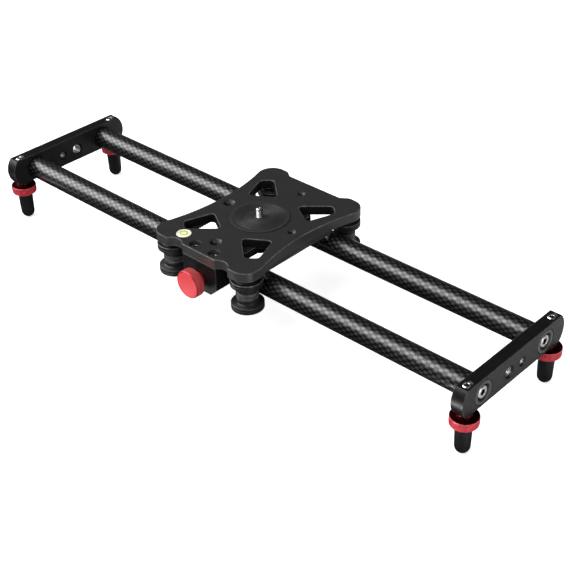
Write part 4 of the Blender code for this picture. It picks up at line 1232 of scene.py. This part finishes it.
# --------------------------------------------------------------------------
# Rollers, with z = 0 at the tube axes
# --------------------------------------------------------------------------
WHEEL_R, WAIST_R = 15.0, 10.25          # flanges, and the waist that meets the tube
WHEEL_HALF, FLANGE_Z, WAIST_Z = 15.2, 9.3, 7.5
WHEEL = [
    # upper flange
    (WHEEL_R, WHEEL_HALF, 0.7), (WHEEL_R, 12.4), (WHEEL_R - 0.18, 12.2),
    (WHEEL_R - 0.18, 11.9), (WHEEL_R, 11.7), (WHEEL_R, FLANGE_Z, 0.45),
    # waist with three grooves
    (WAIST_R + 0.7, WAIST_Z + 0.45, 0.2), (WAIST_R, WAIST_Z - 0.4, 0.3),
    (WAIST_R, 4.1), (WAIST_R - 0.2, 3.9), (WAIST_R - 0.2, 3.5), (WAIST_R, 3.3),
    (WAIST_R, 0.4), (WAIST_R - 0.2, 0.2), (WAIST_R - 0.2, -0.2), (WAIST_R, -0.4),
    (WAIST_R, -3.3), (WAIST_R - 0.2, -3.5), (WAIST_R - 0.2, -3.9), (WAIST_R, -4.1),
    (WAIST_R, -WAIST_Z + 0.4, 0.3), (WAIST_R + 0.7, -WAIST_Z - 0.45, 0.2),
    # lower flange
    (WHEEL_R, -FLANGE_Z, 0.45), (WHEEL_R, -11.7), (WHEEL_R - 0.18, -11.9),
    (WHEEL_R - 0.18, -12.2), (WHEEL_R, -12.4), (WHEEL_R, -WHEEL_HALF, 0.7),
    # lower face and its groove
    (12.6, -WHEEL_HALF, 0.15), (12.3, -WHEEL_HALF + 0.4), (11.2, -WHEEL_HALF + 0.4),
    (10.9, -WHEEL_HALF, 0.1),
    # bore and bearing seats
    (9.4, -WHEEL_HALF, 0.35), (9.4, -11.7), (6.8, -11.7, 0.2), (6.8, -6.3), (5.0, -6.3),
    (5.0, 9.9), (6.8, 9.9), (6.8, WHEEL_HALF, 0.35),
    # upper face and its groove
    (10.9, WHEEL_HALF, 0.1), (11.2, WHEEL_HALF - 0.4), (12.3, WHEEL_HALF - 0.4),
    (12.6, WHEEL_HALF, 0.15)]
# Outer race, shield and inner race of one bearing, as one closed skin
BEARING_HALF = 2.4
BEARING_SHIELD = BEARING_HALF - 0.25
BEARING = [(6.5, BEARING_HALF, 0.25), (6.5, -BEARING_HALF, 0.25), (5.6, -BEARING_HALF, 0.1),
           (5.5, -BEARING_SHIELD), (4.4, -BEARING_SHIELD), (4.3, -BEARING_HALF, 0.1),
           (3.3, -BEARING_HALF, 0.15), (3.3, BEARING_HALF, 0.15), (4.3, BEARING_HALF, 0.1),
           (4.4, BEARING_SHIELD), (5.5, BEARING_SHIELD), (5.6, BEARING_HALF, 0.1)]
AXLE_KNURL = (48, 0.15)
AXLE = [(0, 25.8), (2.6, 25.8), (3.0, 25.4), (3.0, -11.7), (4.9, -11.7, 0.2),
        (5.0, -12.2, 0, AXLE_KNURL), (5.0, -14.3, 0, AXLE_KNURL), (4.9, -15.0, 0.3),
        (2.35, -15.0), (2.0, -14.75, 0, "hex"), (2.0, -13.0, 0, "hex"), (0, -12.9)]
SPACER = [(5.0, DECK_BOTTOM - 0.3, 0.25), (5.0, 15.3, 0.25), (3.3, 15.3, 0.1),
          (3.3, DECK_BOTTOM - 0.3, 0.1)]

for i, (end, side) in enumerate(TAGS):
    tag = f"{end}_{side}"
    roller = f"roller_{tag}"
    x, y, _ = centre(roller)
    axis = (x, y, Z0)
    place(f"{roller}_turned",
          turned("roller", WHEEL, 128, closed=True, seed=i * 13.0, sharp=30.0),
          BLACK_TURNED, axis, roller, roller)
    for level in ("upper", "lower"):
        node = f"bearing_{level}_{tag}"
        place(f"{node}_ground",
              turned("bearing", BEARING, 72, closed=True, segments=3, seed=i * 3.0),
              GROUND, centre(node), roller, node)
    place(f"roller_axle_{tag}_turned", turned("roller_axle", AXLE, 192, seed=i * 2.0),
          GROUND, axis, "carriage", f"roller_axle_{tag}",
          Matrix.Rotation(i * 0.9, 4, "Z"))
    place(f"roller_spacer_{tag}_turned",
          turned("roller_spacer", SPACER, 64, closed=True, seed=i * 6.0),
          BLACK_TURNED, axis, "carriage", f"roller_spacer_{tag}")

# --------------------------------------------------------------------------
# Brake, at the front of the carriage
# --------------------------------------------------------------------------
BLOCK_C = centre("brake_block")
_, BLOCK_DEPTH, BLOCK_HEIGHT = size("brake_block")
BLOCK_TOP = BLOCK_C[2] + BLOCK_HEIGHT / 2 - Z0
BLOCK_BOTTOM = BLOCK_C[2] - BLOCK_HEIGHT / 2 - Z0
BRAKE_Z = centre("brake_knob")[2] - Z0
# Front view of the block: (x, z)
BLOCK_OUTLINE = [(-21, BLOCK_TOP), (-21, -4.0), (-12.5, BLOCK_BOTTOM),
                 (12.5, BLOCK_BOTTOM), (21, -4.0), (21, BLOCK_TOP)]


def block_mesh():
    """Drawn with y up and z toward the front."""
    face = BLOCK_DEPTH / 2
    # pad seat in the rear face, screw hole through the front face
    pad_bore = [(0, face + 1), (6.7, face + 1), (6.7, face), (6.3, face - 0.4),
                (6.3, -face + 11.5), (3.3, -face + 11.5), (3.3, -face + 0.5), (3.8, -face),
                (3.8, -face - 1), (0, -face - 1)]
    clamp_hole = [(0, 1), (3.2, 1), (3.2, 0), (2.8, -0.4), (2.8, -12), (0, -12)]
    clamp_z = (CLAMP_Y - (BLOCK_C[1] - Y0)) * -1
    cutters = [bore(pad_bore, 0, BRAKE_Z, 0, Z_FLIPPED)]
    cutters += [bore(clamp_hole, x, BLOCK_TOP, clamp_z, Z_TO_Y, steps=48)
                for x in (-CLAMP_X, CLAMP_X)]
    mesh = carve(slab("brake_block", [BLOCK_OUTLINE], BLOCK_DEPTH, edge=0.6), cutters)
    mark_mesh(mesh, seed=23.0, sharp=34.0, milled=True)
    return mesh


place("brake_block_milled", block_mesh(), BLOCK, (CARRIAGE_X, BLOCK_C[1], Z0), "carriage",
      "brake_block", Z_TO_MINUS_Y, weigh=True)

# Two screws clamp the block under the deck.
HEAD_TOP, HEAD_LOW = DECK_TOP - 3.4, DECK_BOTTOM + 1.85
HEAD_KNURL = (36, 0.2)
BLOCK_SCREW = [(0, HEAD_TOP - 2.5), (1.1, HEAD_TOP - 2.5), (2.0, HEAD_TOP - 2.35, 0, "hex"),
               (2.0, HEAD_TOP - 0.25, 0, "hex"), (2.35, HEAD_TOP), (4.1, HEAD_TOP, 0.3),
               (4.45, HEAD_TOP - 0.5, 0.1), (4.5, HEAD_TOP - 0.8, 0, HEAD_KNURL),
               (4.5, HEAD_LOW + 0.2, 0, HEAD_KNURL), (4.4, HEAD_LOW), (2.5, HEAD_LOW),
               (2.5, BLOCK_TOP - 11.2, 0.2), (2.1, BLOCK_TOP - 11.5), (0, BLOCK_TOP - 11.5)]
for side, x, seed, spin in (("left", -CLAMP_X, 9.0, 1.1), ("right", CLAMP_X, 3.0, 0.35)):
    place(f"block_screw_{side}_turned", turned("block_screw", BLOCK_SCREW, 144, seed=seed),
          OXIDE, (CARRIAGE_X + x, Y0 + CLAMP_Y, Z0), "carriage", f"block_screw_{side}",
          Matrix.Rotation(spin, 4, "Z"))

# Knob, screw and pad share an axis that runs from the front (-) to the rear.
KNOB_BACK, NECK_END = -85.0, -79.2
PAD_FRONT, PAD_REAR = -65.3, -55.5
KNOB_KNURL = (96, 0.20)
KNOB = [
    # screw hole and neck
    (0, KNOB_FACE + 5.2), (3.3, KNOB_FACE + 5.2), (3.3, NECK_END, 0.1),
    (6.6, NECK_END, 0.35), (6.6, KNOB_BACK, 0.3),
    # rim
    (12.6, KNOB_BACK, 0.25), (13.4, KNOB_BACK - 0.7, 0.2), (13.4, KNOB_BACK - 1.1),
    (13.5, KNOB_BACK - 1.4, 0, KNOB_KNURL), (13.5, KNOB_FACE + 2.3, 0, KNOB_KNURL),
    (13.35, KNOB_FACE + 2.0), (13.35, KNOB_FACE + 1.35, 0.1), (13.0, KNOB_FACE + 1.15, 0.1),
    (13.0, KNOB_FACE + 0.85, 0.1), (13.3, KNOB_FACE + 0.65, 0.1),
    # face
    (12.75, KNOB_FACE, 0.25), (11.2, KNOB_FACE, 0.1), (10.9, KNOB_FACE + 0.12, 0.1),
    (10.3, KNOB_FACE + 0.12), (0, KNOB_FACE + 0.12)]
PAD = [(0, PAD_REAR), (6.0, PAD_REAR, 0.6), (6.0, PAD_FRONT, 0.6), (0, PAD_FRONT)]
KNOB_AT = (CARRIAGE_X, Y0, Z0 + BRAKE_Z)


def brake_screw_mesh():
    steps = 48
    rings = rings_of([(0, PAD_FRONT - 0.3), (2.3, PAD_FRONT - 0.3), (2.6, PAD_FRONT - 0.6)],
                     steps)
    rings += threaded(3.0, 0.34, 1.0, PAD_FRONT - 0.9, KNOB_FACE + 6.2, steps)
    rings += rings_of([(2.5, KNOB_FACE + 5.5), (0, KNOB_FACE + 5.5)], steps)
    return mesh_of("brake_screw", *skin(rings), sharp=38.0)


place("brake_knob_turned", turned("brake_knob", KNOB, 384, segments=3, sharp=28.0),
      RED_KNOB, KNOB_AT, "brake_knob", "brake_knob", Z_TO_Y)
place("brake_screw_threaded", brake_screw_mesh(), STEEL, KNOB_AT, "brake_knob",
      "brake_screw", Z_TO_Y)
place("brake_pad_turned", turned("brake_pad", PAD, 72), NYLON, KNOB_AT, "brake_pad",
      "brake_pad", Z_TO_Y)


# --------------------------------------------------------------------------
# Studio, in metres
# --------------------------------------------------------------------------
def floor_material():
    """White floor that looks dark in reflections, but for two far parts."""
    mat = Shader("studio_floor")
    path = mat.new("ShaderNodeLightPath")
    glow = mat.mul(path.outputs["Is Camera Ray"], 0.62)
    mat.set(Base_Color=(0.86, 0.86, 0.86, 1.0), Roughness=0.9, Specular_IOR_Level=0.1,
            Emission_Color=(1.0, 1.0, 1.0, 1.0), Emission_Strength=glow)
    x, y, _ = mat.split(mat.geometry("Position"))
    far_right = mat.span(x, over=(0.286, 0.33), to=(0.0, 0.55), smooth=True)
    far_rear = mat.span(y, over=(0.05, 0.10), to=(0.0, 0.40), smooth=True)
    level = mat.add(0.03, mat.math("MAXIMUM", far_right, far_rear))
    reflected = mat.fill(mat.new("ShaderNodeBsdfDiffuse"), mat.scale((1.0, 1.0, 1.0), level))
    mat.put(mat.out.inputs[0], mat.mix_shader(path.outputs["Is Glossy Ray"],
                                              mat.bsdf.outputs[0], reflected))
    return mat.material


def make_floor():
    mesh = bpy.data.meshes.new("floor")
    work = bmesh.new()
    bmesh.ops.create_grid(work, x_segments=1, y_segments=1, size=6.0)
    work.to_mesh(mesh)
    work.free()
    floor = bpy.data.objects.new("floor", mesh)
    SCENE.collection.objects.link(floor)
    floor.location = (0, 0, CAD_BOX[0].z - 0.0002)
    mesh.materials.append(floor_material())


def make_world():
    """White to the camera, faint as a light and fainter still in reflections."""
    world = bpy.data.worlds.new("studio")
    SCENE.world = world
    world.use_nodes = True
    nodes = Nodes(world.node_tree)
    out = nodes.new("ShaderNodeOutputWorld")
    path = nodes.new("ShaderNodeLightPath")
    faint = nodes.fill(nodes.new("ShaderNodeMath", operation="MULTIPLY_ADD"),
                       path.outputs["Is Glossy Ray"], -0.19, 0.26)
    seen = nodes.fill(nodes.new("ShaderNodeBackground"), (1, 1, 1, 1), 1.0)
    lit = nodes.fill(nodes.new("ShaderNodeBackground"), (0.98, 0.99, 1.0, 1), faint)
    nodes.put(out.inputs[0], nodes.mix_shader(path.outputs["Is Camera Ray"], lit, seen))


def pose(x, y, z, where):
    """Matrix from three axes and a place."""
    return Matrix(((x.x, y.x, z.x, where.x), (x.y, y.y, z.y, where.y),
                   (x.z, y.z, z.z, where.z), (0, 0, 0, 1)))


def area_light(name, width, height, radiance, matrix, shiny=True):
    light = bpy.data.lights.new(name, "AREA")
    light.shape = "RECTANGLE"
    light.size, light.size_y = width, height
    light.energy = radiance * math.pi * width * height
    obj = bpy.data.objects.new(name, light)
    SCENE.collection.objects.link(obj)
    obj.matrix_world = matrix
    obj.visible_camera = False
    obj.visible_glossy = shiny


def softbox(name, direction, distance, width, height, radiance, shiny=True):
    """Light aimed at the slider's middle; its width stays level, along the rails."""
    middle = Vector(((CAD_BOX[0] + CAD_BOX[1]) / 2))
    z = Vector(direction).normalized()
    x = Vector((1, 0, 0)) - z * z.x
    x.normalize()
    matrix = pose(x, z.cross(x), z, middle + z * distance)
    area_light(name, width, height, radiance, matrix, shiny)


def card(name, x, y, width, height, radiance):
    """A small bright card lying face up on the floor, hidden from the camera."""
    matrix = Matrix.Translation((x, y, CAD_BOX[0].z + 0.0004)) @ Z_FLIPPED
    area_light(name, width, height, radiance, matrix)


make_floor()
make_world()
softbox("key", (-0.54, -0.505, 0.67), distance=1.6, width=2.6, height=1.15, radiance=5.6)
softbox("overhead", (0.15, 0.25, 1.0), distance=1.7, width=2.2, height=1.2, radiance=0.9,
        shiny=False)
softbox("right_fill", (1.0, -0.25, 0.25), distance=1.5, width=0.9, height=0.9, radiance=2.9)
softbox("back_rim", (-0.3, 1.0, 0.35), distance=1.8, width=2.2, height=0.6, radiance=0.9,
        shiny=False)
card("card_right", x=0.249, y=-0.140, width=0.034, height=0.036, radiance=30.0)
card("card_left", x=-0.341, y=-0.140, width=0.030, height=0.034, radiance=6.0)
card("card_block", x=CARRIAGE_X * MM - 0.045, y=-0.118, width=0.050, height=0.030,
     radiance=2.0)

# --------------------------------------------------------------------------
# Camera, at the front right and looking down
# --------------------------------------------------------------------------
AZIMUTH, ELEVATION, ROLL = math.radians(41.47), math.radians(35.04), math.radians(-0.32)
CAMERA_AT = Vector((0.6812, -0.6638, 0.6501))       # metres


def make_camera():
    data = bpy.data.cameras.new("camera")
    data.sensor_width = 36.0
    data.lens = 75.846315789
    data.shift_x = -0.0782456140
    data.shift_y = 0.0347368421
    data.clip_start, data.clip_end = 0.01, 50.0
    camera = bpy.data.objects.new("camera", data)
    SCENE.collection.objects.link(camera)
    back = Vector((math.sin(AZIMUTH) * math.cos(ELEVATION),
                   -math.cos(AZIMUTH) * math.cos(ELEVATION), math.sin(ELEVATION)))
    right = (-back).cross(Vector((0, 0, 1))).normalized()
    up = right.cross(-back)
    camera.matrix_world = pose(right * math.cos(ROLL) + up * math.sin(ROLL),
                               -right * math.sin(ROLL) + up * math.cos(ROLL),
                               back, CAMERA_AT)
    SCENE.camera = camera


make_camera()
SCENE.view_settings.view_transform = "Standard"
SCENE.view_settings.look = "None"
